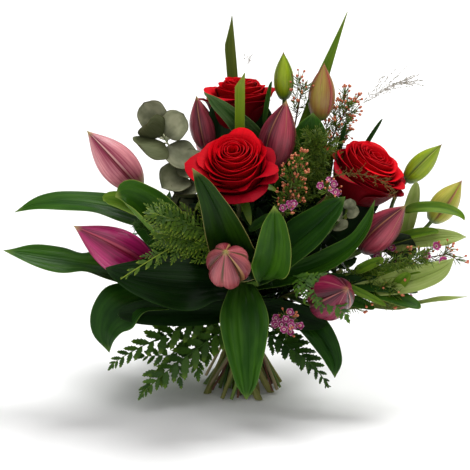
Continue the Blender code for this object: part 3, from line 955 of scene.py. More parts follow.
@dataclass(frozen=True)
class StemFinish:
    """A cut stem: two colours in streaks along it, and a pale cut face with fine spots."""

    name: str
    first: Colour
    second: Colour
    cut: Colour = (0.42, 0.44, 0.22)
    roughness: float = 0.45

    def material(self) -> Material:
        """A cut face has a coordinate along the stem below zero.

        Returns:
            The material.
        """
        recipe = Recipe(self.name, self.first)
        run, _ = recipe.grain()
        streaks, patches = recipe.noise(1.0, (7.0, 22.0), 5.0), recipe.noise(45.0)
        recipe.paint(recipe.step(streaks, 0.3, 0.7), self.second)
        recipe.paint(recipe.times(recipe.step(patches, 0.5, 0.7), 0.6), self.second)
        recipe.shade(recipe.line(recipe.number("tint"), 0.8, 0.6))
        recipe.paint(recipe.step(run, -0.2, -0.8), recipe.blend(recipe.noise(900.0), self.cut, self.second))
        recipe.relief(streaks, 0.5 * MM)
        return recipe.done(recipe.line(streaks, 0.25, self.roughness - 0.1), specular=0.25)


class Shade(Enum):
    """The named finishes of the bouquet, with their values in the order of their class's fields."""

    ROSE = PetalFinish("rose_red", (0.09, 0.0, 0.002), (0.56, 0.0005, 0.005), (0.72, 0.001, 0.008),
                       (0.27, 0.0002, 0.008))
    PINK = BudFinish("bud_pink", (0.23, 0.012, 0.050), (0.73, 0.29, 0.31), (0.74, 0.44, 0.39),
                     (0.13, 0.006, 0.016), (0.42, 0.33, 0.10), (0.50, 0.38, 0.20))
    WINE = BudFinish("bud_wine", (0.085, 0.003, 0.014), (0.45, 0.062, 0.095), (0.44, 0.19, 0.09),
                     (0.060, 0.004, 0.010), (0.42, 0.30, 0.10), (0.11, 0.02, 0.03))
    DEEP_PINK = BudFinish("bud_deep_pink", (0.15, 0.010, 0.022), (0.45, 0.115, 0.125), (0.42, 0.24, 0.09),
                          (0.05, 0.035, 0.008), (0.36, 0.30, 0.08), (0.12, 0.02, 0.03), 0.9)
    MAGENTA = BudFinish("bud_magenta", (0.15, 0.001, 0.034), (0.50, 0.014, 0.15), (0.46, 0.060, 0.10),
                        (0.16, 0.003, 0.018), (0.45, 0.30, 0.12), (0.10, 0.01, 0.03))
    # Partly painted shade: darker than the magenta bud, for the lower right bud that faces away from the
    # light; the rest is its own deeper colour.
    MAROON = BudFinish("bud_maroon", (0.045, 0.001, 0.009), (0.23, 0.012, 0.050), (0.44, 0.16, 0.15),
                       (0.035, 0.002, 0.006), (0.36, 0.16, 0.08), (0.03, 0.004, 0.01))
    GREEN = BudFinish("bud_green", (0.17, 0.26, 0.004), (0.34, 0.45, 0.010), (0.38, 0.40, 0.06),
                      (0.05, 0.08, 0.006), (0.22, 0.13, 0.03), (0.08, 0.16, 0.010))
    LIME = BudFinish("bud_lime", (0.29, 0.31, 0.025), (0.54, 0.48, 0.075), (0.42, 0.14, 0.08),
                     (0.20, 0.05, 0.03), (0.30, 0.08, 0.05), (0.14, 0.22, 0.02))
    OLIVE = BudFinish("bud_olive", (0.27, 0.10, 0.040), (0.36, 0.29, 0.045), (0.45, 0.09, 0.08),
                      (0.30, 0.030, 0.040), (0.42, 0.16, 0.06), (0.14, 0.20, 0.02))
    # Painted shade: a near-black green, for leaves and twigs that lie in shade inside and under the bouquet.
    DEEP_LEAF = LeafFinish("leaf_shadow", (0.002, 0.010, 0.001), (0.006, 0.026, 0.002), (0.018, 0.045, 0.008),
                           (0.016, 0.045, 0.006))
    DARK_LEAF = LeafFinish("leaf_dark", (0.006, 0.030, 0.003), (0.020, 0.072, 0.006), (0.045, 0.10, 0.025),
                           (0.10, 0.18, 0.03))
    OLIVE_LEAF = LeafFinish("leaf_olive", (0.004, 0.020, 0.001), (0.018, 0.056, 0.003), (0.03, 0.075, 0.008),
                            (0.34, 0.30, 0.10))
    OLIVE_BLADE = LeafFinish("blade_olive", (0.045, 0.075, 0.006), (0.11, 0.14, 0.015), (0.09, 0.13, 0.02),
                             (0.16, 0.20, 0.04))
    # Painted light: a pale yellow-green for the far right leaves, standing in for light that shines through
    # them.
    PALE_LEAF = LeafFinish("leaf_backlit", (0.22, 0.30, 0.06), (0.36, 0.43, 0.14), (0.30, 0.38, 0.12),
                           (0.40, 0.46, 0.20))
    MID_LEAF = LeafFinish("leaf_mid", (0.011, 0.050, 0.003), (0.040, 0.120, 0.008), (0.07, 0.14, 0.035),
                          (0.14, 0.22, 0.04))
    LIGHT_LEAF = LeafFinish("leaf_light", (0.06, 0.14, 0.006), (0.15, 0.25, 0.015), (0.17, 0.26, 0.04),
                            (0.27, 0.34, 0.06))
    SHEEN_LEAF = LeafFinish("leaf_sheen", (0.018, 0.060, 0.008), (0.10, 0.18, 0.06), (0.10, 0.18, 0.06),
                            (0.14, 0.22, 0.08))
    FRESH_LEAF = LeafFinish("leaf_fresh", (0.013, 0.055, 0.002), (0.042, 0.125, 0.005), (0.10, 0.19, 0.03),
                            (0.30, 0.36, 0.07))
    BRIGHT_LEAF = LeafFinish("leaf_bright", (0.11, 0.20, 0.008), (0.20, 0.29, 0.015), (0.19, 0.27, 0.035),
                             (0.26, 0.32, 0.05))
    FERN = PlainFinish("fern_green", (0.012, 0.044, 0.002), (0.045, 0.112, 0.005), (0.10, 0.18, 0.010), 0.5,
                       under=(0.028, 0.066, 0.008))
    DARK_FERN = PlainFinish("fern_dark", (0.008, 0.034, 0.002), (0.028, 0.080, 0.005), (0.04, 0.10, 0.008),
                            0.5, under=(0.03, 0.07, 0.012))
    BRONZE = PlainFinish("fern_bronze", (0.06, 0.05, 0.008), (0.14, 0.10, 0.014), (0.26, 0.12, 0.03), 0.6)
    YELLOW_FERN = PlainFinish("fern_yellow", (0.014, 0.046, 0.002), (0.070, 0.135, 0.005),
                              (0.21, 0.28, 0.020), 0.5, under=(0.06, 0.10, 0.012))
    GUM = LeafFinish("eucalyptus", (0.22, 0.235, 0.14), (0.43, 0.43, 0.28), (0.036, 0.050, 0.008),
                     (0.07, 0.06, 0.02), 2.0, 0.6, 0.08)
    # Painted shade: a darker copy of the eucalyptus finish, for the twig behind the bud.
    DARK_GUM = LeafFinish("eucalyptus_dark", (0.030, 0.050, 0.028), (0.065, 0.095, 0.055),
                          (0.015, 0.025, 0.012), (0.05, 0.05, 0.03), 2.0, 0.5, 0.08)
    NEEDLE = PlainFinish("needles", (0.03, 0.075, 0.006), (0.10, 0.17, 0.012), (0.16, 0.20, 0.02), 0.5)
    WOOD = StemFinish("waxflower_wood", (0.07, 0.012, 0.008), (0.16, 0.07, 0.035))
    PALE_STEM = StemFinish("pale_stem", (0.26, 0.22, 0.09), (0.42, 0.33, 0.20))
    WAX_BUD = PlainFinish("waxflower_buds", (0.42, 0.070, 0.028), (0.54, 0.145, 0.075), (0.60, 0.24, 0.11),
                          0.4)
    WAX_PETAL = PlainFinish("waxflower_petals", (0.22, 0.008, 0.09), (0.40, 0.035, 0.19), (0.66, 0.30, 0.47),
                            0.45)
    WAX_HEART = PlainFinish("waxflower_hearts", (0.72, 0.50, 0.52), (0.62, 0.34, 0.30), (0.07, 0.004, 0.02),
                            0.4)
    GRASS = PlainFinish("panicum", (0.28, 0.29, 0.24), (0.42, 0.38, 0.33), (0.45, 0.38, 0.36), 0.7)
    LILY_STEM = StemFinish("lily_stem", (0.07, 0.13, 0.02), (0.13, 0.19, 0.04))
    ROSE_STEM = StemFinish("rose_stem", (0.035, 0.065, 0.015), (0.10, 0.06, 0.03))
    LIGHT_STEM = StemFinish("light_stem", (0.11, 0.13, 0.025), (0.22, 0.20, 0.06))
    TWINE = PlainFinish("twine", (0.30, 0.20, 0.10), (0.42, 0.30, 0.17), (0.36, 0.26, 0.14), 0.85, 900.0,
                        0.6 * MM)

    def material(self) -> Material:
        """The finish's material, made once."""
        found = bpy.data.materials.get(f"{self.value.name}_finish")
        return found or self.value.material()


# ---- roses


@dataclass
class Rose:
    """A rose: petals wound in a spiral round its heart, over five sepals.

    Petals are numbered from the heart outwards, and an age from 0 to 1 says where in that order one
    stands. Their sizes are shares of the bloom's radius and depth, which its CAD nodes give. The rims
    stand as far out as spread and as high as rise says, and the outermost ones lower by fall. turn is
    the angle of the first petal, wind how much a petal ages from side to side, lean how the bloom's axis
    leans away from its stem's, and shift how far its foot is shifted, in millimetres.
    """

    name: str
    seed: int
    petals: int = 34
    turn: float = 0.0
    spread: float = 1.0
    rise: float = 1.0
    fall: float = 0.40
    lean: Triple = (0, 0, 0)
    shift: Triple = (0, 0, 0)
    thickness: float = 0.55 * MM
    wind: float = 0.75
    rows: int = 15
    columns: int = 17
    foot: Array = field(init=False)
    axis: Array = field(init=False)
    radius: float = field(init=False)
    depth: float = field(init=False)

    def __post_init__(self) -> None:
        """Reads the bloom's foot and axis from the end of its stem, and its size from its outer petals,
        which are 0.88 of its depth high."""
        stem = Guide.of(f"{self.name}_stem").centres
        self.axis = unit(stem[-1] - stem[-2])
        points, _ = corner_hops(f"{self.name}_outer_petals")
        height = along(points - stem[-1], self.axis)
        self.foot = stem[-1] + self.axis * height.min()
        self.depth = float(np.ptp(height)) / 0.88
        self.radius = float(np.linalg.norm(points - stem[-1] - height * self.axis, axis=1).max())
        self.foot = self.foot + np.array(self.shift) * MM
        self.axis = unit(self.axis + np.array(self.lean))

    def profile(self, age: Array, way_up: Array, lip: Array) -> tuple[Array, Array]:
        """The upright section of the petals, as a radius and a height.

        It is a cubic Bezier curve from the receptacle, out over the belly, to the rim, whose lean grows
        with age. Over the last part, the lip curls outwards and down, with the square of the way past
        its start.

        Args:
            age: How far from the heart the petal lies there.
            way_up: How far up the petal, from 0 to 1.
            lip: How much the lip curls.

        Returns:
            Radii and heights, as shares of the bloom's radius and depth.
        """
        rim_radius = 0.06 + 0.80 * self.spread * age**0.95
        rim_height = self.rise * (1.06 + 0.05 * bell(age, 0.35, 0.25)) - 0.20 * age**1.5 - self.fall * age**4
        belly = 0.20 + 0.66 * age
        lean = math.radians(1) * (-18 + 54 * age + 18 * age**3)
        handle = 0.20 + 0.14 * age
        first = (0.10 + 0.05 * age, 0.0 * age)
        second = (belly, 0.10 + 0.12 * (1 - age))
        third = (rim_radius - handle * np.sin(lean), rim_height - handle * 1.1 * np.cos(lean))
        t = way_up
        weights = ((1 - t) ** 3, 3 * t * (1 - t) ** 2, 3 * t * t * (1 - t), t**3)
        knots = (first, second, third, (rim_radius, rim_height))
        radii = sum(weight * knot[0] for weight, knot in zip(weights, knots))
        heights = sum(weight * knot[1] for weight, knot in zip(weights, knots))
        over = np.clip((t - 0.74) / 0.26, 0, None) ** 2
        return radii + lip * over, heights - 1.05 * lip * over

    def petal(self, number: int, chance: Chance) -> Array:
        """The middle surface of one petal, as a grid of points.

        Its angle from its own middle is its half width times s, from -1 to 1. Its edge stands at the
        full height in the middle, where it has a small point, and falls as |s|^3 to both sides. Its age
        grows along the angle, so one side lies inside the next petal and the other outside the last.

        Args:
            number: The petal's number from the heart.
            chance: The random source.

        Returns:
            Rows from the foot to the rim, columns across.
        """
        share = (number + 0.5) / self.petals
        half_width = math.radians(122 - 60 * share**0.6) * (1 + 0.07 * chance.normal())
        s = np.linspace(-1, 1, self.columns)[None]
        t = even(self.rows)[:, None] ** 0.8
        angle = half_width * s * (0.55 + 0.45 * smooth(t, 0.0, 0.5))
        older = self.wind * angle / GOLDEN_ANGLE / self.petals
        age = np.clip(share + older, 0.0, 1.06)
        wave = chance.normal(0, 1, 3)
        ruffle = wave[0] * np.sin(3 * s + wave[1]) + 0.6 * wave[2] * np.sin(6 * s + wave[0])
        point = 0.035 * np.clip(1 - np.abs(s) / 0.3, 0, 1) ** 1.5 * smooth(share, 0.5, 0.8)
        edge = 1 - (0.12 + 0.20 * share) * np.abs(s) ** 3 + point
        edge = edge * (1 + (0.024 + 0.030 * share**3) * ruffle)
        edge = edge * (1 + (0.02 + 0.07 * share**3) * chance.normal())
        lip = (0.045 + 0.095 * share**1.3) * (0.6 + 0.6 * np.abs(s) ** 1.5) * (1 + 0.25 * chance.normal())
        radii, heights = self.profile(age, t * edge, lip)
        radii = radii * (1 + (0.038 + 0.030 * share**3) * ruffle * t**3)
        facing = number * GOLDEN_ANGLE + self.turn + 0.12 * chance.normal()
        out = around(self.axis, (angle + facing)[..., None])
        return self.foot + self.radius * radii[..., None] * out + self.depth * heights[..., None] * self.axis

    def build(self) -> None:
        """Makes the petals and the sepals."""
        chance = np.random.default_rng(self.seed)
        skin = Skin()
        reach = even(self.columns)
        for number in range(self.petals):
            grid = self.petal(number, chance)
            thin = self.thickness * (1 - 0.75 * np.abs(2 * reach - 1) ** 4)[None] * np.ones((self.rows, 1))
            skin.add_sheet(grid, thin, even(self.rows) ** 0.8, reach, (number + 0.5) / self.petals)
        nodes = (f"{self.name}_outer_petals", f"{self.name}_inner_petals")
        put(skin, f"{self.name}_petals", Shade.ROSE, "rose_petal", *nodes)
        self.sepals(chance)

    def sepals(self, chance: Chance) -> None:
        """Five narrow pointed sepals under the bloom: they leave its foot and bend down at their tips.

        Args:
            chance: The random source.
        """
        skin = Skin()
        s = np.linspace(-1, 1, 7)
        share = even(14)
        for number in range(5):
            out = around(self.axis, 2 * math.pi * (number + 0.1 * chance.normal()) / 5)
            side = np.cross(self.axis, out)
            size = self.radius * (0.72 + 0.08 * chance.normal())
            reach = 0.14 * self.radius + size * np.sin(share * 1.4)
            drop = self.depth * (0.02 - 0.10 * share + 0.02 * np.sin(5 * share)) - 0.25 * size * share**3
            line = self.foot + out * reach[:, None] + self.axis * drop[:, None]
            width = 0.13 * self.radius * (1 - share) ** 0.8 * (0.6 + share) + 0.15 * MM
            cup = 0.25 * width[:, None] * s[None] ** 2
            grid = line[:, None] + side * (width[:, None] * s)[..., None] + self.axis * cup[..., None]
            skin.add_sheet(grid[:, ::-1], 0.5 * MM, share)
        put(skin, f"{self.name}_sepals", Shade.NEEDLE, "stem")


# ---- lily buds


@dataclass
class LilyBud:
    """A lily bud on its stalk: three tepals that meet at seams, each with a groove along its middle.

    star is how deep its six grooves are, turn the angle of its first seam, and nudge how far its foot
    and its tip are drawn from the node's, in millimetres. From its node's ring body_ring on, it is a
    bud and no longer a stalk.
    """

    name: str
    finish: Shade
    slot: str
    turn: float = 0.0
    star: float = 1.0
    slim: float = 1.0
    nudge: Ends = UNMOVED
    body_ring: int = 3
    columns: int = 26
    rows: int = 46

    def section(self, share: Array) -> tuple[Array, Array, Array]:
        """The bud's outline round its axis.

        q runs from -1 to 1 between a tepal's two seams, with its columns closer together at the seams
        and at the groove. The outline is 1, plus a bulge of 1 - q^2, less a bell at the groove and one
        at each seam, plus a step where one tepal's edge lies over the next.

        Args:
            share: How far along the bud each ring lies, from its foot to its tip.

        Returns:
            The angle of each column, how far across its tepal it lies from 0 to 1, and the outline for
            each ring and column.
        """
        steps = np.arange(self.columns) / self.columns * 2 - 1
        q = steps - 0.65 / (2 * math.pi) * np.sin(2 * math.pi * steps)
        angles = np.concatenate([(q + 1) * math.pi / 3 + 2 * math.pi * k / 3 for k in range(3)])
        q = np.tile(q, 3)
        bulge = 0.07 * (1 - q * q) * (1 + 0.4 * self.star)
        groove = -0.028 * self.star * bell(q, 0, 0.05 + 0.05 * self.star)
        groove = groove + 0.012 * bell(np.abs(q), 0.22, 0.14)
        seam = -0.045 * self.star * bell(np.abs(q), 1.0, 0.05 + 0.02 * self.star)
        seam = seam + 0.055 * (self.star - 1) * np.abs(np.sin(math.pi * q)) ** 0.8
        lap = 0.022 * smooth(q, 0.2, 0.9)
        strength = smooth(share, 0.0, 0.25) * (1 - 0.35 * smooth(share, 0.85, 1.0))
        shape = bulge + groove + seam + lap - 0.03
        return angles + self.turn, (q + 1) / 2, 1 + strength[:, None] * shape[None]

    def build(self) -> None:
        """Makes the bud and its stalk as one closed skin.

        The radius follows the stalk's, plus the bud's fullness times sin(pi share^0.82), to a power
        that grows from 0.62 to 1.1 so that the tip is sharper than the foot.
        """
        guide = Guide.of(self.name)
        body_at = guide.share[self.body_ring]
        foot, end = (np.array(offset) * MM for offset in self.nudge)
        base, tip = guide.centres[self.body_ring] + foot, guide.centres[-1] + end
        stalk_shares = np.linspace(0, body_at, 9)[:-1]
        stalk = guide.at(stalk_shares).centres + foot * (stalk_shares / body_at)[:, None] ** 2
        share = 1 - (1 - even(self.rows)) ** 1.15
        axis = tip - base
        body = base + axis * share[:, None]
        line = np.vstack((stalk, body))
        thin = guide.widths[0]
        fullness = guide.widths.max() - thin * 0.6
        swell = np.sin(math.pi * np.clip(share, 0, 1) ** 0.82) ** (0.62 + 0.48 * share)
        radii = thin * (1 - share) + self.slim * fullness * swell
        radii[-1] = 0.25 * MM
        radii = np.concatenate((np.full(len(stalk), thin), radii))
        _, across, up = frames_along(line, square_to(unit(axis)))
        angles, reach, outline = self.section(share)
        outline = np.vstack((np.ones((len(stalk), outline.shape[1])), outline))
        out = across[:, None] * np.cos(angles)[:, None] + up[:, None] * np.sin(angles)[:, None]
        rings = line[:, None] + out * (radii[:, None] * outline)[..., None]
        skin = Skin()
        run = np.concatenate((np.zeros(len(stalk)), share))
        fade = np.concatenate((np.zeros(len(stalk)), smooth(share, 0.0, 0.10)))
        skin.add_tube(rings, run, np.repeat(fade, rings.shape[1]), reach)
        put(skin, f"{self.name}_tepals", self.finish, self.slot, self.name)


# ---- leaves


@dataclass
class LongLeaf:
    """A lily leaf: long and pointed, with ribs along it between sharp valleys.

    fold is how steeply its halves rise from its middle rib, curl how much more they rise at their
    edges, and roll turns its left edge over towards the upper face, all in degrees. ribs is how many
    round ribs it has, rib_height their height, and wave how much its edges swing up and down, waves times.
    pinch makes it narrower at a share of its length, by an amount, taper and slim_foot make it narrower
    towards its tip and its foot (as far as foot_end), ends is the share of its guide that it covers, and
    nudge is how far its foot, middle and tip are drawn from the guide's, in millimetres.
    """

    name: str
    finish: Shade
    slot: str
    fold: float = 14.0
    curl: float = 10.0
    roll: float = 0.0
    ribs: int = 5
    rib_height: float = 0.45 * MM
    wave: float = 1.2 * MM
    waves: float = 2.5
    phase: float = 0.0
    pinch: tuple[float, float] = (0.5, 0.0)
    widen: float = 1.0
    taper: float = 0.0
    slim_foot: float = 0.0
    foot_end: float = 0.45
    ends: float = 1.0
    nudge: tuple[Triple, Triple, Triple] = (*UNMOVED, (0, 0, 0))
    rows: int = 46
    columns: int = 37
    thickness: float = 0.45 * MM
    path: Guide | None = None

    def grid(self, guide: Guide) -> Array:
        """The leaf's middle surface.

        Across the leaf, the surface follows a slope: fold and curl give each half's slope, and a roll
        adds to it past 0.55 of the half width. Its sine and cosine are summed up from the middle rib
        outwards. Ribs are |sin| of the way across, to the power 0.7, and the wave is a sine along the
        leaf that grows with the square of the way out.

        Args:
            guide: The leaf's line and width, one row for each row of the grid.

        Returns:
            Rows along the leaf, columns across it.
        """
        share = guide.share[:, None]
        s = np.linspace(-1, 1, self.columns)[None]
        body = smooth(share, 0.0, 0.25) * (1 - 0.6 * smooth(share, 0.75, 1.0))
        slope = math.radians(self.fold) * np.tanh(6 * s) * (0.5 + 0.5 * (1 - share))
        slope = slope + math.radians(self.curl) * s * body
        slope = slope - math.radians(self.roll) * body * smooth(-s, 0.5, 1.0)
        step = s[0, 1] - s[0, 0]
        flat, rise = np.cos(slope), np.sin(slope)
        middle = self.columns // 2
        x = np.cumsum(flat, axis=1) * step
        z = np.cumsum(rise, axis=1) * step
        x, z = x - x[:, middle:middle + 1], z - z[:, middle:middle + 1]
        place, amount = self.pinch
        width = guide.widths * self.widen * (1 - amount * bell(guide.share, place, 0.07))
        width = width * (1 - self.taper * smooth(guide.share, 0.25, 0.95))
        width = width * (1 - self.slim_foot * (1 - smooth(guide.share, 0.05, self.foot_end)))
        if self.ends < 1.0:
            width = width * np.sqrt(np.clip(1 - (guide.share / self.ends) ** 6, 0, 1))
        width = np.maximum(width, 0.25 * MM)[:, None]
        ribs = np.abs(np.sin(math.pi * self.ribs * (s + 1) / 2)) ** 0.7
        fine = smooth(width, 2 * MM, 9 * MM)
        height = self.rib_height * fine * (ribs - 0.5) * smooth(share, 0.0, 0.15)
        height = height - 0.5 * MM * fine * bell(s, 0.0, 0.05)
        swing = self.wave * fine * np.sin(2 * math.pi * self.waves * share + self.phase + 0.8 * np.sign(s))
        height = height + swing * s * s * body
        side = x * width
        foot, middle, tip = (np.array(offset) * MM for offset in self.nudge)
        centres = guide.centres + foot * (1 - share) ** 2 + middle * 2 * share * (1 - share) + tip * share**2
        return (centres[:, None] + guide.across[:, None] * side[..., None]
                + guide.up[:, None] * (z * width + height)[..., None])

    def build(self) -> None:
        """Makes the leaf."""
        shares = even(self.rows) ** 1.05
        whole, nodes = guide_of(self.name, self.path)
        guide = whole.at(shares * self.ends)
        skin = Skin()
        thin = self.thickness * (1 - 0.6 * np.abs(np.linspace(-1, 1, self.columns)) ** 6)
        skin.add_sheet(self.grid(guide), thin[None], shares)
        put(skin, f"{self.name}_blade", self.finish, self.slot, *nodes)


# ---- stems and twine


@dataclass
class Stem:
    """A cut stem: a long tube with swollen leaf joints, cut flat at its foot.

    slim is how thick it is for its node, and swell how much thicker it is at a joint.
    """

    name: str
    finish: Shade
    joints: int = 7
    slim: float = 0.72
    swell: float = 0.10
    thorns: int = 0
    seed: int = 1
    tint: float = 0.5
    sides: int = 14
    rows: int = 90

    def build(self) -> None:
        """Makes the stem, as thick as its node times slim, with joints and a soft ripple round it."""
        shares = even(self.rows)
        guide = Guide.of(self.name).at(shares)
        chance = np.random.default_rng(self.seed)
        places = (np.arange(self.joints) + 0.3 + 0.3 * chance.random(self.joints)) / self.joints
        joints = bell(shares[:, None], places[None], 0.012).sum(axis=1)
        radii = self.slim * guide.widths * (1 + self.swell * joints)
        _, across, up = frames_along(guide.centres, (1.0, 0.0, 0.0))
        angle = 2 * math.pi * np.arange(self.sides) / self.sides
        ripple = 1 + 0.025 * np.sin(3 * angle[None] + 9 * shares[:, None])
        rings = tube_rings(guide.centres, across, up, radii, self.sides, ripple)
        floor = rings[:1, :, 2:] - 0.05 * MM
        way = unit(guide.centres[1] - guide.centres[0])
        rings[0] -= way * (floor[0] / way[2])
        skin = Skin()
        skin.add_tube(rings, shares, self.tint)
        skin.grain[1][..., 0] = -1.0
        if self.thorns:
            self.add_thorns(skin, guide, radii, chance)
        put(skin, f"{self.name}_cane", self.finish, "stem", self.name)

    def add_thorns(self, skin: Skin, guide: Guide, radii: Array, chance: Chance) -> None:
        """Adds short hooked thorns, each a small cone that leaves the stem and bends down.

        Args:
            skin: The skin that they are added to.
            guide: The stem's guide.
            radii: Its radius at each point.
            chance: The random source.
        """
        _, across, up = frames_along(guide.centres, (1.0, 0.0, 0.0))
        for number in range(self.thorns):
            row = int((0.12 + 0.7 * (number + chance.random()) / self.thorns) * self.rows)
            angle = number * GOLDEN_ANGLE
            out = across[row] * math.cos(angle) + up[row] * math.sin(angle)
            root = guide.centres[row] + out * radii[row] * 0.85
            size = 3.2 * MM * (0.8 + 0.4 * chance.random())
            line = curve(root, out * size, root + out * size + (0, 0, -0.35 * size), (0, 0, -0.6 * size), 5)
            add_twig(skin, line, 1.1 * MM * (1 - np.linspace(0, 0.93, 5)), 6, self.tint)


def tie_box() -> tuple[Array, Array, Array]:
    """The lowest corner, the highest corner and the middle of the tie's node."""
    low, high = (np.array(corner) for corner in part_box("binding_twine"))
    return low, high, (low + high) / 2


@dataclass
class ThinStems:
    """The thin cut stems of the greens: straight, crossing in the tie, and spread out at their feet.

    spread is how far from the middle their feet stand, and twist how far they turn round the middle
    between the floor and their upper ends.
    """

    name: str
    seed: int
    finish: Shade
    count: int = 10
    radius: float = 1.5 * MM
    spread: tuple[float, float] = (20 * MM, 40 * MM)
    twist: float = 150.0
    top: float = 112 * MM

    def build(self) -> None:
        """Makes the stems: each line runs from a foot on the floor to its upper end, past the tie."""
        chance = np.random.default_rng(self.seed)
        _, _, middle = tie_box()
        skin = Skin()
        share = even(24)[:, None]
        for number in range(self.count):
            angle = 2 * math.pi * (number + 0.6 * chance.random()) / self.count
            turn = angle + math.radians(self.twist + 14 * chance.normal())
            foot = chance.uniform(*self.spread) * np.array((math.cos(angle), math.sin(angle), 0.0))
            upper = 0.95 * np.linalg.norm(foot) * np.array((math.cos(turn), math.sin(turn), 0.0))
            lift = chance.uniform(0.0, 5.0) * MM
            line = middle * (1, 1, 0) + foot + (upper - foot) * share + (self.top - lift) * share * (0, 0, 1)
            wave = 1.2 * MM * np.sin(5 * share + number) * square_to(upper - foot)
            line = line + (0, 0, lift + 0.3 * MM) + wave
            add_twig(skin, line, self.radius * (0.8 + 0.4 * chance.random()), 9, chance.random())
        put(skin, self.name, self.finish, "stem")


@dataclass
class Twine:
    """The tie: two-ply twine wound round the waist of the stems, with a knot at the back."""

    name: str = "binding_twine"
    turns: int = 6
    ply_radius: float = 0.55 * MM
    lay: float = 4.2 * MM
    points: int = 900

    def build(self) -> None:
        """Makes the twine.

        Its middle is a helix round the bundle's axis, and each of its two plies winds round that middle
        once in every length of lay.
        """
        low, high, middle = tie_box()
        radius = (high[0] - low[0]) / 2 - 2.1 * self.ply_radius
        share = even(self.points)
        angle = 2 * math.pi * self.turns * share
        height = (share - 0.5) * (high[2] - low[2] - 3 * self.ply_radius)
        line = middle + np.stack((radius * np.cos(angle), radius * np.sin(angle), height), axis=1)
        skin = Skin()
        self.add_plies(skin, line)
        back = middle + np.array((0.0, radius + 0.8 * MM, 0.0))
        loop = np.linspace(0, 2 * math.pi * 1.9, 120)[:, None]
        knot = np.hstack((3.2 * np.cos(loop), 1.1 * np.sin(2.1 * loop), 3.0 * np.sin(loop))) * MM + back
        self.add_plies(skin, knot)
        put(skin, "twine_winding", Shade.TWINE, "twine", self.name)

    def add_plies(self, skin: Skin, line: Array) -> None:
        """Adds the two plies that wind round a line.

        Args:
            skin: The skin that they are added to.
            line: The line's points.
        """
        _, across, up = frames_along(line, (0.0, 0.1, 1.0))
        run = run_along(line)
        for ply in range(2):
            angle = (2 * math.pi * run / self.lay + math.pi * ply)[:, None]
            strand = line + self.ply_radius * 0.85 * (across * np.cos(angle) + up * np.sin(angle))
            add_twig(skin, strand, self.ply_radius, 6, 0.3 + 0.4 * ply)


# ---- small shapes to repeat


def small_leaf(rows: int, columns: int, cup: float, blunt: float, wide: float, bend: float,
               thickness: float, teeth: float = 0.0) -> Skin:
    """A small leaf along y, one long, its upper face up, its half width 0.5 times wide.

    Args:
        rows: How many rows of corners it has.
        columns: How many corners a row has.
        cup: How far its edges rise.
        blunt: The power of (1 - share) in its outline; less is blunter.
        wide: How wide it is.
        bend: How far its tip drops.
        thickness: Its thickness.
        teeth: How much narrower every second row is, which gives it a toothed edge.

    Returns:
        Its skin.
    """
    share = even(rows)[:, None]
    s = np.linspace(-1, 1, columns)[None]
    outline = (share + 0.02) ** 0.55 * (1 - share) ** blunt
    odd = (np.arange(rows) % 2)[:, None]
    width = 0.5 * wide * outline / outline.max() * (1 - teeth * odd) + 0.004
    forward = teeth * 0.22 * (1 - odd) * np.abs(s) * (share < 1) * (share > 0)
    grid = np.stack((width * s, share + forward, cup * s * s * width - bend * share**2), axis=2)
    skin = Skin()
    skin.add_sheet(grid, thickness)
    return skin


def spindle(share: Array, radii: Array, bend: float, sides: int) -> Skin:
    """A closed shape along y with a radius at each share of its length, whose tip bends up."""
    skin = Skin()
    add_twig(skin, np.stack((0 * share, share, bend * share**2), axis=1), radii, sides)
    return skin


def needle(radius: float, bend: float) -> Skin:
    """A needle along y, one long, whose radius is sin(pi share)^0.5, and which bends up."""
    share = even(3)
    return spindle(share, radius * np.sqrt(np.sin(math.pi * (0.06 + 0.90 * share))), bend, 3)


def drop() -> Skin:
    """A round bud along y, one long: narrow at its foot and widest past its middle."""
    share = even(6)
    return spindle(share, 0.36 * np.sin(math.pi * np.clip(share, 0.03, 0.98) ** 1.25) ** 0.7 + 0.02, 0.0, 7)


# ---- ferns


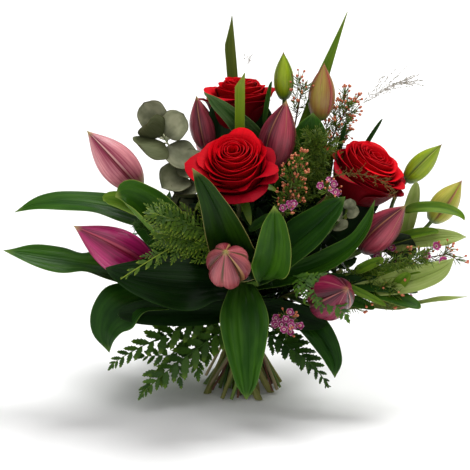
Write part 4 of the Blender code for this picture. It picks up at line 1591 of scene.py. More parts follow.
@dataclass
class FernFrond:
    """A leather fern frond: a rachis with side branches, each with toothed lobes on both its sides.

    starts is where on its stem the frond begins, pairs how many pairs of branches it has, lobe how far
    apart the lobes are, sweep how far the branches stand off the rachis, reach how long and droop how
    bent they are, slim how early the frond gets narrow, wide how wide a lobe is for its length, and face
    where the frond looks. stalk is the radius of its stem, and tip the length of its last lobe.
    """

    name: str
    seed: int
    finish: Shade = Shade.FERN
    starts: float = 0.34
    pairs: int = 6
    lobe: float = 6.4 * MM
    sweep: float = 54.0
    reach: float = 1.3
    droop: float = 0.15
    slim: float = 1.15
    wide: float = 0.52
    face: Triple = (0.0, -0.7, 0.7)
    stalk: float = 1.5 * MM
    tip: float = 9.0 * MM
    path: Guide | None = None

    def build(self) -> None:
        """Makes the frond and its stem."""
        whole, nodes = guide_of(self.name, self.path)
        shares = even(60)
        line = whole.at(shares)
        side_up = np.sign(along(line.up, np.asarray(self.face)).sum())
        chance = np.random.default_rng(self.seed)
        skin = Skin()
        add_twig(skin, line.centres, self.stalk * (1 - 0.78 * shares) + 0.1 * MM, 8, 0.2)
        self.add_branches(skin, whole, float(side_up), chance)
        put(skin, f"{self.name}_frond", self.finish, "fern", *nodes)

    def add_branches(self, skin: Skin, whole: Guide, side_up: float, chance: Chance) -> None:
        """Adds the branches.

        A branch at t along the frond is as long as (t + 0.12)^0.5 (1 - t)^slim says. A short one is
        a single lobe. Small lobes have fewer rows of corners.

        Args:
            skin: The skin that they are added to.
            whole: The frond's guide.
            side_up: 1 or -1, for which of its sides looks up.
            chance: The random source.
        """
        rows = 11 if self.lobe > 5 * MM else 7
        shape = small_leaf(rows, 3, cup=0.1, blunt=0.85, wide=self.wide, bend=0.08, thickness=0.02,
                           teeth=0.30)
        widest = whole.widths[len(whole.widths) // 3:].max()
        for number in range(2 * self.pairs):
            t = ((number // 2) + 0.35 * (number % 2) + 0.2) / self.pairs
            share = self.starts + (1 - self.starts) * (1 - (1 - t) ** 1.15)
            spot = whole.spot(share, 0.995)
            root, way = spot.centres[1], unit(spot.centres[1] - spot.centres[0])
            side = (1 if number % 2 else -1) * spot.across[1]
            up = side_up * spot.up[1]
            outline = (t + 0.12) ** 0.5 * (1 - t) ** self.slim / 0.45
            length = self.reach * widest * outline * (1 + 0.08 * chance.normal()) + 3 * MM
            lean = math.radians(self.sweep - 14 * t + 4 * chance.normal())
            out = side * math.sin(lean) + way * math.cos(lean)
            tip = root + out * length - up * self.droop * length * (0.6 + 0.4 * chance.random())
            line = curve(root, out * length, tip, (out - 0.6 * self.droop * up) * length, 12)
            if length < 3.2 * self.lobe:
                self.add_lobes(skin, shape, root, tip - root, up, length, chance)
            else:
                self.add_branch(skin, line, up, shape, length, chance)
        tip = whole.at(np.array((0.95, 1.0)))
        end = tip.centres[1] - tip.centres[0]
        self.add_lobes(skin, shape, tip.centres[0], unit(end), side_up * tip.up[0], self.tip, chance)

    def add_branch(self, skin: Skin, line: Array, up: Array, shape: Skin, length: float,
                   chance: Chance) -> None:
        """Adds one branch: a thin rib and its lobes, which stand closer and get smaller to its tip.

        Args:
            skin: The skin that they are added to.
            line: The rib's points.
            up: Where its upper side looks.
            shape: A lobe.
            length: How long the branch is.
            chance: The random source.
        """
        add_twig(skin, line, 0.5 * MM * (1 - 0.75 * even(len(line))), 4, 0.35)
        count = max(2, round(length / self.lobe))
        spaced = 1 - (1 - (np.arange(count) + 0.25) / (count + 0.25)) ** 1.25
        t = np.repeat(spaced, 2) + np.tile((-0.25, 0.25), count) / count
        side = np.tile((-1.0, 1.0), count)
        t = np.clip(t, 0.02, 0.97)
        places, way = spots_on(line, t)
        across = np.cross(way, up)
        lean = np.radians(54 - 24 * t + 4 * chance.normal(size=len(t)))[:, None]
        out = across * side[:, None] * np.sin(lean) + way * np.cos(lean)
        most = min(0.42 * length, 2.0 * self.lobe)
        size = (most * (1 - t) ** 0.6 + 0.45 * self.lobe) * (1 + 0.07 * chance.normal(size=len(t)))
        self.add_lobes(skin, shape, places, out, np.tile(up, (len(t), 1)), size, chance)
        self.add_lobes(skin, shape, line[-2], unit(line[-1] - line[-2]), up, 1.5 * self.lobe, chance)

    def add_lobes(self, skin: Skin, shape: Skin, places: Array, ways: Array, ups: Array,
                  sizes: Array | float, chance: Chance) -> None:
        """Adds a lobe, or one for each row, each tilted a little out of the frond.

        Args:
            skin: The skin that they are added to.
            shape: A lobe.
            places: Where they start.
            ways: Where they point.
            ups: Where their upper sides look.
            sizes: How long they are.
            chance: The random source.
        """
        places, ways, ups = np.atleast_2d(places, ways, ups)
        face = ups + 0.16 * chance.normal(size=ups.shape)
        tint = np.clip(0.5 + 0.22 * chance.normal(size=len(places)), 0, 1)
        skin.add_copies(shape, places, turned_frames(ways, face, np.atleast_1d(sizes)), tint)


# ---- eucalyptus


@dataclass(frozen=True)
class RoundLeaf:
    """A round leaf: where it leaves the twig, its way out, its face, its size in millimetres, and its cup."""

    share: float
    way: Triple
    face: Triple
    size: float
    cup: float


def round_blade(cup: float) -> Skin:
    """A round leaf along y, one long and one wide, on a short stalk, with edges that rise and ripple.

    Its outline is a circle that starts at the stalk, with a small point at its end.

    Args:
        cup: How far its edges rise.

    Returns:
        Its skin.
    """
    share = even(18)[:, None]
    s = np.linspace(-1, 1, 15)[None]
    outline = np.sqrt(np.clip(share * (1 - share), 0, None)) * (1 + 0.05 * np.sin(9 * share)) + 0.008
    lift = cup * (s * s * outline * 2 + 0.6 * (share - 0.5) ** 2) - 0.02 * bell(s, 0, 0.08)
    lift = lift + 0.012 * np.sin(5 * s + 4 * share)
    grid = np.stack((1.02 * outline * s, share + 0.10 + 0 * s, lift), axis=2)
    skin = Skin()
    skin.add_sheet(grid, 0.018)
    stalk = np.stack((0 * share[:5, 0], np.linspace(0, 0.12, 5), 0 * share[:5, 0]), axis=1)
    add_twig(skin, stalk, 0.025, 5)
    return skin


@dataclass
class Eucalyptus:
    """A twig of eucalyptus with round grey leaves, their undersides olive."""

    name: str
    leaves: tuple[RoundLeaf, ...]
    ends: float = 1.0
    nudge: Ends = UNMOVED
    finish: Shade = Shade.GUM
    path: Guide | None = None

    def build(self) -> None:
        """Makes the twig and its leaves."""
        whole, nodes = guide_of(self.name, self.path, self.nudge)
        guide = whole.at(np.linspace(0, self.ends, 70))
        skin = Skin()
        add_twig(skin, guide.centres, 1.7 * MM * (1 - 0.72 * guide.share), 8, 0.5)
        put(skin, f"{self.name}_twig", Shade.LILY_STEM, "eucalyptus", *nodes)
        foliage = Skin()
        for number, leaf in enumerate(self.leaves):
            root = whole.spot(leaf.share).centres[1]
            axes = turned_frames(np.array([leaf.way]), np.array([leaf.face]), np.array([leaf.size * MM]))
            foliage.add_copies(round_blade(leaf.cup), root[None], axes, np.array([(number % 4) / 3]))
        put(foliage, f"{self.name}_leaves", self.finish, "eucalyptus")


# ---- waxflower


def wax_flower() -> tuple[Skin, Skin]:
    """A waxflower that faces z, one wide: five round petals with pale rims, and a ringed heart.

    Returns:
        The petals and the heart.
    """
    petals, heart = Skin(), Skin()
    angle = 2 * math.pi * np.arange(5) / 5
    way = np.stack((np.cos(angle), np.sin(angle), 0.25 + 0 * angle), axis=1)
    face = np.stack((-0.25 * np.cos(angle), -0.25 * np.sin(angle), 1 + 0 * angle), axis=1)
    petal = small_leaf(5, 5, cup=0.3, blunt=0.30, wide=1.0, bend=-0.15, thickness=0.06)
    petals.add_copies(petal, way * 0.12, turned_frames(way, face, np.full(5, 0.40)), even(5))
    share = even(6)
    profile = np.array((0.06, 0.17, 0.20, 0.18, 0.10, 0.01))
    height = np.array((-0.22, -0.10, 0.04, 0.11, 0.06, 0.05))
    line = np.stack((0 * share, 0 * share, height), axis=1)
    rings = tube_rings(line, np.tile((1.0, 0, 0), (6, 1)), np.tile((0, 1.0, 0), (6, 1)), profile, 10)
    heart.add_tube(rings[:, ::-1], share)
    return petals, heart


SPRIG_SHADES = {"twigs": Shade.WOOD, "needles": Shade.NEEDLE, "buds": Shade.WAX_BUD,
                "petals": Shade.WAX_PETAL, "hearts": Shade.WAX_HEART}


@dataclass
class Waxflower:
    """A sprig of waxflower: a dark twig that branches, with needles, round buds and open flowers.

    starts is where on the twig its branches begin, spread how long they are, needles and buds how many
    pairs of needles and how many buds each has, and flowers the share of the buds that are open.
    """

    name: str
    seed: int
    starts: float = 0.66
    branches: int = 16
    spread: float = 24 * MM
    needles: int = 7
    buds: int = 5
    flowers: float = 0.15
    flower_size: float = 9.5 * MM
    bud_size: float = 3.1 * MM
    nudge: Ends = UNMOVED
    path: Guide | None = None

    def build(self) -> None:
        """Makes the twigs, needles, buds and flowers, each as a piece."""
        chance = np.random.default_rng(self.seed)
        whole, nodes = guide_of(self.name, self.path, self.nudge)
        guide = whole.at(even(60))
        parts = {label: Skin() for label in SPRIG_SHADES}
        add_twig(parts["twigs"], guide.centres, 1.35 * MM * (1 - 0.6 * guide.share), 8)
        flower = wax_flower()
        for number in range(self.branches):
            t = (number + 0.5) / self.branches
            share = self.starts + (1 - self.starts) * t
            root = guide.spot(share).centres[1]
            way = unit(guide.way_at(np.array((share,)))[0])
            out = around(way, number * GOLDEN_ANGLE)
            size = self.spread * (1.0 - 0.45 * t) * (0.8 + 0.4 * chance.random())
            tip = root + out * size * 0.75 + way * size * 0.75
            line = curve(root, (out + 0.3 * way) * size, tip, (0.3 * out + way) * size, 7)
            add_twig(parts["twigs"], line, 0.5 * MM * (1 - 0.4 * even(7)), 5)
            self.add_needles(parts["needles"], line, chance)
            heads = self.heads(line, way, chance)
            opened = chance.random(len(heads[0])) < self.flowers
            if number == self.branches - 1:
                opened[:] = False
            self.add_heads(parts, heads, opened, flower, chance)
            for end in heads[0]:
                way_out = end - line[-1]
                add_twig(parts["needles"], curve(line[-1], way_out * 0.8, end, way_out, 4), 0.35 * MM, 4)
        for label, skin in parts.items():
            if skin.count:
                replaced = nodes if label == "twigs" else ()
                put(skin, f"{self.name}_{label}", SPRIG_SHADES[label], "waxflower", *replaced)

    def add_needles(self, skin: Skin, line: Array, chance: Chance) -> None:
        """Adds needles along a twig, in pairs that turn round it.

        Args:
            skin: The skin that they are added to.
            line: The twig's points.
            chance: The random source.
        """
        t = np.repeat(np.linspace(0.1, 0.98, self.needles), 2)
        places, way = spots_on(line, t)
        number = np.arange(len(t))
        angle = (number * math.pi + 0.5 * math.pi * (number // 2))[:, None]
        out = around(way, angle + 0.4 * chance.normal(size=angle.shape))
        size = 8.5 * MM * (0.7 + 0.5 * chance.random(len(t)))
        axes = turned_frames(out + 0.9 * way, way - out, size)
        skin.add_copies(needle(0.05, 0.1), places, axes, chance.random(len(t)))

    def heads(self, line: Array, way: Array, chance: Chance) -> tuple[Array, Array]:
        """Where the buds and flowers at the end of a twig are, and the way that each faces."""
        end = unit(line[-1] - line[-2])
        facing = unit(end + 0.4 * way + 0.75 * chance.normal(size=(self.buds, 3)))
        return line[-1] + facing * (4.5 * MM + 4 * MM * chance.random((self.buds, 1))), facing

    def add_heads(self, parts: dict[str, Skin], heads: tuple[Array, Array], opened: Array,
                  flower: tuple[Skin, Skin], chance: Chance) -> None:
        """Adds a flower where opened says so, and a round bud everywhere else.

        Args:
            parts: The skins of the sprig's parts.
            heads: Where the buds and flowers are, and where they face.
            opened: Which ones are open.
            flower: The petals and the heart of one flower.
            chance: The random source.
        """
        places, facing = heads
        tint = chance.random(len(places))
        size = self.bud_size * (0.75 + 0.45 * tint)
        axes = turned_frames(facing, square_to(facing), size)
        parts["buds"].add_copies(drop(), places[~opened], axes[~opened], tint[~opened])
        if opened.any():
            look = unit(facing + np.array((0.0, -1.1, 0.25)))
            axes = turned_frames(square_to(look), look, np.full(len(look), self.flower_size))
            for label, shape in zip(("petals", "hearts"), flower):
                parts[label].add_copies(shape, places[opened], axes[opened], tint[opened])


# ---- asparagus fern and panicum


@dataclass
class Plume:
    """A spray of fine branches with needles or grains along them, round the end of a stem.

    starts is where on the stem its branches begin, spread how long they are, forward how far they lean
    to the tip, and loose how far their grains stray from them. twig and stem are radii.
    """

    name: str
    seed: int
    finish: Shade
    slot: str
    starts: float
    branches: int
    spread: float
    grains: int
    grain_length: float
    grain_radius: float
    forward: float = 1.0
    twig: float = 0.35 * MM
    stem: float = 1.2 * MM
    loose: float = 0.7
    nudge: Ends = UNMOVED
    path: Guide | None = None

    def build(self) -> None:
        """Makes the stem, its branches and what they carry."""
        chance = np.random.default_rng(self.seed)
        whole, nodes = guide_of(self.name, self.path, self.nudge)
        guide = whole.at(even(60))
        skin = Skin()
        add_twig(skin, guide.centres, self.stem * (1 - 0.75 * guide.share), 6, 0.3)
        shape = needle(self.grain_radius, 0.08)
        for number in range(self.branches):
            t = (number + chance.random()) / self.branches
            share = self.starts + (1 - self.starts) * t
            root = guide.spot(share, 0.999).centres[1]
            way = guide.way_at(np.array((share,)))[0]
            out = around(way, number * GOLDEN_ANGLE + 0.4 * chance.normal())
            size = self.spread * (1.1 - 0.6 * t) * (0.7 + 0.5 * chance.random())
            tip = root + (out + self.forward * way) * size * 0.7 + chance.normal(size=3) * 0.1 * size
            line = curve(root, (out + way) * size * 0.6, tip, (out + self.forward * way) * size, 9)
            add_twig(skin, line, self.twig * (1 - 0.6 * even(9)), 4, 0.4)
            self.add_grains(skin, shape, line, chance)
        put(skin, f"{self.name}_plume", self.finish, self.slot, *nodes)

    def add_grains(self, skin: Skin, shape: Skin, line: Array, chance: Chance) -> None:
        """Adds needles or grains along a branch, on all sides of it.

        Args:
            skin: The skin that they are added to.
            shape: A needle or grain.
            line: The branch's points.
            chance: The random source.
        """
        t = np.clip(np.linspace(0.12, 1.0, self.grains) + 0.02 * chance.normal(size=self.grains), 0, 1)
        places, way = spots_on(line, t)
        out = unit(way + self.loose * chance.normal(size=(self.grains, 3)))
        size = self.grain_length * (0.6 + 0.8 * chance.random(self.grains))
        axes = turned_frames(out, way + 0.3 * chance.normal(size=way.shape), size)
        skin.add_copies(shape, places, axes, chance.random(self.grains))


# ---- blades and greens inside


class TipCut(Enum):
    """How the end of a grass-like blade is shaped."""

    LEFT = -1
    EVEN = 0
    RIGHT = 1


@dataclass
class Blade:
    """A grass-like blade: a ribbon with fine ribs, cut to a slanting point over its last cut_length.

    Its half width grows from foot to half_width round the share that opens gives.
    """

    name: str
    finish: Shade
    slot: str
    cut: TipCut
    cut_length: float
    half_width: float = 5.2 * MM
    nudge: Ends = UNMOVED
    opens: float = 0.3
    foot: float = 1.6 * MM
    rows: int = 60
    columns: int = 11

    def build(self) -> None:
        """Makes the blade.

        Its cross section is a shallow arc, turned so that its hollow face looks to the front near the
        tip. Over the cut, the width shrinks in a straight line towards one edge, or towards the middle.
        """
        shares = even(self.rows) ** 0.85
        guide = Guide.of(self.name).drawn(*self.nudge).at(shares)
        near_tip = -8
        flip = 1.0 if guide.up[near_tip][1] < 0 else -1.0
        s = np.linspace(-1, 1, self.columns)[None]
        left = (1 - shares) * run_along(guide.centres)[-1]
        kept = np.clip(left / self.cut_length, 0.02, 1.0)[:, None]
        open_part = smooth(shares, self.opens * 0.6, self.opens * 1.4)[:, None]
        width = self.foot + (self.half_width - self.foot) * open_part
        shift = self.cut.value * (1 - kept)
        across = (shift + s * kept) * width
        lift = 0.10 * width * s * s + 0.12 * MM * np.sin(9 * s)
        grid = (guide.centres[:, None] + flip * guide.across[:, None] * across[..., None]
                + flip * guide.up[:, None] * lift[..., None])
        skin = Skin()
        skin.add_sheet(grid, 0.5 * MM, shares)
        put(skin, f"{self.name}_ribbon", self.finish, self.slot, self.name)


@dataclass
class InnerGreens:
    """Leafy twigs that fill the inside of the bouquet, from the twine out to below the outer leaves.

    Their tips lie near a part of an ellipsoid round the crown's middle, whose half axes are reach, in
    millimetres. crown is how high that middle is, and azimuths and elevations say which part it is.
    """

    name: str
    seed: int
    finish: Shade
    twigs: int
    reach: Triple
    azimuths: tuple[float, float]
    elevations: tuple[float, float] = (-12.0, 60.0)
    leaves: int = 10
    leaf_length: float = 30 * MM
    leaf_width: float = 0.42
    crown: float = 128 * MM

    def build(self) -> None:
        """Makes the twigs and their leaves."""
        chance = np.random.default_rng(self.seed)
        low, high, start = tie_box()
        start = start + (0.0, 0.0, (high[2] - low[2]) / 2)
        middle = np.array((start[0], start[1], self.crown))
        skin = Skin()
        leaf = small_leaf(6, 3, cup=0.25, blunt=0.7, wide=self.leaf_width, bend=0.12, thickness=0.016)
        for _ in range(self.twigs):
            azimuth = math.radians(chance.uniform(*self.azimuths))
            height = math.radians(chance.uniform(*self.elevations))
            flat = np.array((math.cos(azimuth), math.sin(azimuth), 0.0))
            way = flat * math.cos(height) + np.array((0.0, 0.0, math.sin(height)))
            tip = middle + way * np.array(self.reach) * MM * chance.uniform(0.75, 1.0)
            root = start + flat * (high[0] - low[0]) * 0.3
            far = np.linalg.norm(tip - root)
            line = curve(root, (way + (0, 0, 0.9)) * far * 0.7, tip, (way + 0.3 * flat) * far * 0.7, 16)
            add_twig(skin, line, 1.0 * MM * (1 - 0.7 * even(16)), 5, 0.3)
            self.add_leaves(skin, leaf, line, chance)
        put(skin, self.name, self.finish, "leaf_dark")

    def add_leaves(self, skin: Skin, leaf: Skin, line: Array, chance: Chance) -> None:
        """Adds leaves along the outer two thirds of a twig, turning round it.

        Args:
            skin: The skin that they are added to.
            leaf: A leaf.
            line: The twig's points.
            chance: The random source.
        """
        t = np.linspace(0.32, 1.0, self.leaves)
        places, way = spots_on(line, t)
        out = around(way, (np.arange(self.leaves) * GOLDEN_ANGLE + chance.random() * 6)[:, None])
        face = 0.7 * way - 0.5 * out + np.array((0, 0, 0.6)) + 0.2 * chance.normal(size=out.shape)
        size = self.leaf_length * (0.75 + 0.4 * chance.random(self.leaves)) * (1 - 0.3 * t)
        axes = turned_frames(out + 0.9 * way, face, size)
        skin.add_copies(leaf, places, axes, chance.random(self.leaves))


# ---- studio


@dataclass
class Studio:
    """A plain pale floor, soft lights and the camera, in front of the bouquet and a little above it.

    The camera stands at a distance and an elevation, and aims at a share of the bouquet's height, a
    little aside. background is how bright the world looks, and ambient how bright it shines.
    """

    distance: float = 1.8
    elevation: float = 15.0
    lens: float = 145.1
    aim: float = 0.4265
    aside: float = -1.0 * MM
    background: float = 1.0
    ambient: float = 0.165
    floor_reach: float = 12.0
    floor_height: float = -1.2 * MM

    def build(self) -> None:
        """Sets up the floor, the world, the lights and the camera."""
        self.floor()
        self.world()
        low, high = (np.array(corner) for corner in CAD_BOX)
        self.light("key", (0.62, 0.45, 1.5), 3.0, 28.0)
        self.light("front", (-0.45, -1.2, 0.9), 1.15, 90.0)
        self.light("top", (0.1, -0.3, 1.6), 0.75, 46.0)
        self.camera((low[0] + high[0]) / 2, low[2] + self.aim * (high[2] - low[2]))
        bpy.context.scene.view_settings.view_transform = "Standard"

    def floor(self) -> None:
        """A wide flat floor just under the bouquet."""
        mesh = bpy.data.meshes.new("studio_floor")
        half = self.floor_reach
        corners = [(x, y, self.floor_height) for x, y in ((-half, -half), (half, -half), (half, half),
                                                          (-half, half))]
        mesh.from_pydata(corners, [], [(0, 1, 2, 3)])
        recipe = Recipe("studio_paper", (0.91, 0.91, 0.90))
        recipe.paint(recipe.noise(3.0), (0.94, 0.94, 0.94))
        mesh.materials.append(recipe.done(0.9))
        new_object("studio_floor", mesh)

    def world(self) -> None:
        """A white background, which lights the bouquet more softly than it looks."""
        world = bpy.data.worlds.new("studio")
        world.use_nodes = True
        tree = world.node_tree
        sky = tree.nodes["Background"]
        path = tree.nodes.new("ShaderNodeLightPath")
        level = tree.nodes.new("ShaderNodeMapRange")
        tree.links.new(path.outputs["Is Camera Ray"], level.inputs["Value"])
        level.inputs["To Min"].default_value = self.ambient
        level.inputs["To Max"].default_value = self.background
        tree.links.new(level.outputs[0], sky.inputs["Strength"])
        sky.inputs["Color"].default_value = (1.0, 1.0, 1.0, 1.0)
        bpy.context.scene.world = world

    def light(self, name: str, way: Triple, power: float, spread: float) -> None:
        """Adds a far light.

        Args:
            name: Its name.
            way: Where it shines from.
            power: How bright it is.
            spread: How wide it is, in degrees, for soft shadows.
        """
        lamp = bpy.data.lights.new(f"studio_{name}", "SUN")
        lamp.energy, lamp.angle = power, math.radians(spread)
        holder = new_object(f"studio_{name}", lamp)
        holder.location = way
        self.turn_to(holder, np.zeros(3))

    def camera(self, x: float, z: float) -> None:
        """Adds the camera, which looks along +Y and down by its elevation.

        Args:
            x: How far to the right it aims.
            z: How high it aims.
        """
        view = bpy.data.cameras.new("studio_camera")
        view.lens = self.lens
        holder = new_object("studio_camera", view)
        angle = math.radians(self.elevation)
        aim = np.array((x + self.aside, 0.0, z))
        holder.location = aim + self.distance * np.array((0.0, -math.cos(angle), math.sin(angle)))
        self.turn_to(holder, aim)
        bpy.context.scene.camera = holder

    def turn_to(self, holder: bpy.types.Object, aim: Array) -> None:
        """Turns an object so that it looks from its place at a point."""
        way = unit(aim - np.array(holder.location))
        holder.rotation_euler = (math.acos(-way[2]), 0.0, math.atan2(way[0], way[1]) * -1)


# ---- the bouquet: values without a name stand in the order of their class's fields

ROSES = (
    Rose("rose_centre", 5, 38, 0.4, 0.89, 1.10, lean=(0, -0.15, 0), shift=(2, 0, -3)),
    Rose("rose_top", 8, 34, 2.2, 1.16, 1.05, 0.16, (0, 0.10, 0), (-1, 0, -2)),
    Rose("rose_right", 11, 38, 4.0, 1.19, 1.20, 0.28, (-0.15, 0.28, 0), (-1, 0, -7)),
)

BUDS = (
    LilyBud("bud_upper_left", Shade.PINK, "bud_pink", turn=2.2, slim=0.93, nudge=((-12, 0, -6), (5, 0, 0))),
    LilyBud("bud_lower_left", Shade.MAGENTA, "bud_magenta", turn=1.9, slim=1.08,
            nudge=((2, 0, -8), (2, 0, -1))),
    LilyBud("bud_back_left", Shade.WINE, "bud_pink", turn=0.7, nudge=((3, 0, 0), (3, 0, -1))),
    LilyBud("bud_centre", Shade.WINE, "bud_pink", turn=0.2, slim=1.04, nudge=((1, 0, -4), (1, 0, -4))),
    LilyBud("bud_front", Shade.DEEP_PINK, "bud_pink", turn=0.5, star=2.6, slim=0.92),
    LilyBud("bud_right", Shade.WINE, "bud_pink", turn=1.2, nudge=((0, 0, 0), (-4, 0, 0))),
    LilyBud("bud_lower_right", Shade.MAROON, "bud_magenta", turn=0.9, star=1.8),
    LilyBud("bud_top_green", Shade.GREEN, "bud_green", turn=0.5, nudge=((-2, 0, 0), (-4, 0, 0))),
    LilyBud("bud_top_right", Shade.OLIVE, "bud_green", turn=0.3),
    LilyBud("bud_far_right_upper", Shade.GREEN, "bud_green", turn=1.3),
    LilyBud("bud_far_right_lower", Shade.LIME, "bud_green", turn=1.0),
    LilyBud("bud_behind", Shade.PINK, "bud_pink", turn=0.4),
)

LEAVES = (
    LongLeaf("leaf_left_upper", Shade.MID_LEAF, "leaf_mid", fold=10, ribs=3, wave=1.0 * MM, phase=0.5,
             widen=0.95, nudge=((0, 0, 6), (0, 0, 13), (0, 0, 0))),
    LongLeaf("leaf_left_lower", Shade.MID_LEAF, "leaf_dark", fold=16, ribs=5, wave=3.2 * MM, waves=2.2,
             phase=1.2, pinch=(0.60, 0.32), widen=1.22, taper=0.18),
    LongLeaf("leaf_left_drooping", Shade.DARK_LEAF, "leaf_dark", fold=12, ribs=5, wave=2.0 * MM, widen=1.2,
             nudge=((0, 0, 0), (-20, -4, 6), (-2, 0, 0))),
    LongLeaf("leaf_left_rolled", Shade.FRESH_LEAF, "leaf_mid", fold=18, curl=45, roll=110, ribs=5,
             nudge=((0, 0, 0), (2, -2, 6), (4, -4, 12))),
    # Painted shade: the front left leaf, low under the bouquet, takes the near-black finish.
    LongLeaf("leaf_front_left", Shade.DEEP_LEAF, "leaf_dark", fold=8, ribs=7, wave=1.6 * MM, taper=0.25,
             ends=0.94),
    LongLeaf("leaf_centre_left", Shade.OLIVE_LEAF, "leaf_mid", fold=20, ribs=4, roll=20, taper=0.35,
             widen=1.2, nudge=((16, 0, 0), (25, 0, -2), (3, 0, -5))),
    LongLeaf("leaf_centre_right", Shade.FRESH_LEAF, "leaf_light", fold=20, ribs=4, curl=16, slim_foot=0.75,
             nudge=((0, 0, -8), (0, 0, -8), (-2, 0, -7))),
    LongLeaf("leaf_front_drooping", Shade.MID_LEAF, "leaf_mid", fold=10, ribs=5, rib_height=1.5 * MM,
             taper=0.32, slim_foot=0.3),
    LongLeaf("leaf_right_broad", Shade.DARK_LEAF, "leaf_dark", fold=8, ribs=4, rib_height=0.8 * MM,
             nudge=((0, 0, 0), (0, 0, 0), (-7, 0, -3))),
    LongLeaf("leaf_right_curving", Shade.MID_LEAF, "leaf_dark", fold=26, ribs=3, roll=35,
             nudge=((0, 0, 0), (-4, 0, 0), (-9, 0, -4))),
    LongLeaf("leaf_right_drooping", Shade.DARK_LEAF, "leaf_dark", fold=22, ribs=4,
             nudge=((0, 0, 0), (16, 0, 6), (0, 0, 0))),
    LongLeaf("leaf_far_right_upper", Shade.PALE_LEAF, "leaf_light", fold=18, ribs=3, wave=2.2 * MM, waves=2.0,
             slim_foot=0.6, foot_end=0.8),
    LongLeaf("leaf_far_right_wavy", Shade.PALE_LEAF, "leaf_light", fold=12, ribs=4, wave=3.4 * MM, waves=2.0,
             slim_foot=0.85, foot_end=0.85),
    LongLeaf("leaf_far_right_lower", Shade.PALE_LEAF, "leaf_light", fold=14, ribs=3, wave=2.5 * MM, waves=2.6,
             slim_foot=0.5, foot_end=0.8),
    LongLeaf("leaf_top_left", Shade.SHEEN_LEAF, "leaf_mid", fold=22, ribs=3, roll=30, widen=1.55,
             nudge=((27, 0, -6), (43, -2, -7), (0, 0, -5))),
    LongLeaf("leaf_top_right", Shade.MID_LEAF, "leaf_dark", fold=14, ribs=5, widen=1.45,
             nudge=((0, 0, 0), (-6, 0, 4), (-6, 0, -2))),
    LongLeaf("leaf_back_left", Shade.DARK_LEAF, "leaf_dark", ribs=5, wave=2.0 * MM),
    LongLeaf("leaf_back_middle", Shade.MID_LEAF, "leaf_mid", ribs=6, wave=2.0 * MM),
    LongLeaf("leaf_back_right", Shade.DARK_LEAF, "leaf_dark", ribs=5, wave=2.0 * MM),
)


def spare_leaf(name: str, finish: Shade, slot: str, half_width: float, start: Triple, leave: Triple,
               end: Triple, arrive: Triple, face: Triple = (0, -1, 0.3), curl: float = 10) -> LongLeaf:
    """A smaller leaf with less relief, on a path of its own, which Guide.free describes."""
    return LongLeaf(f"spare_leaf_{name}", finish, slot, rows=24, columns=13, ribs=3, rib_height=0.25 * MM,
                    wave=0.6 * MM, curl=curl, path=Guide.free(start, leave, end, arrive, face, half_width))


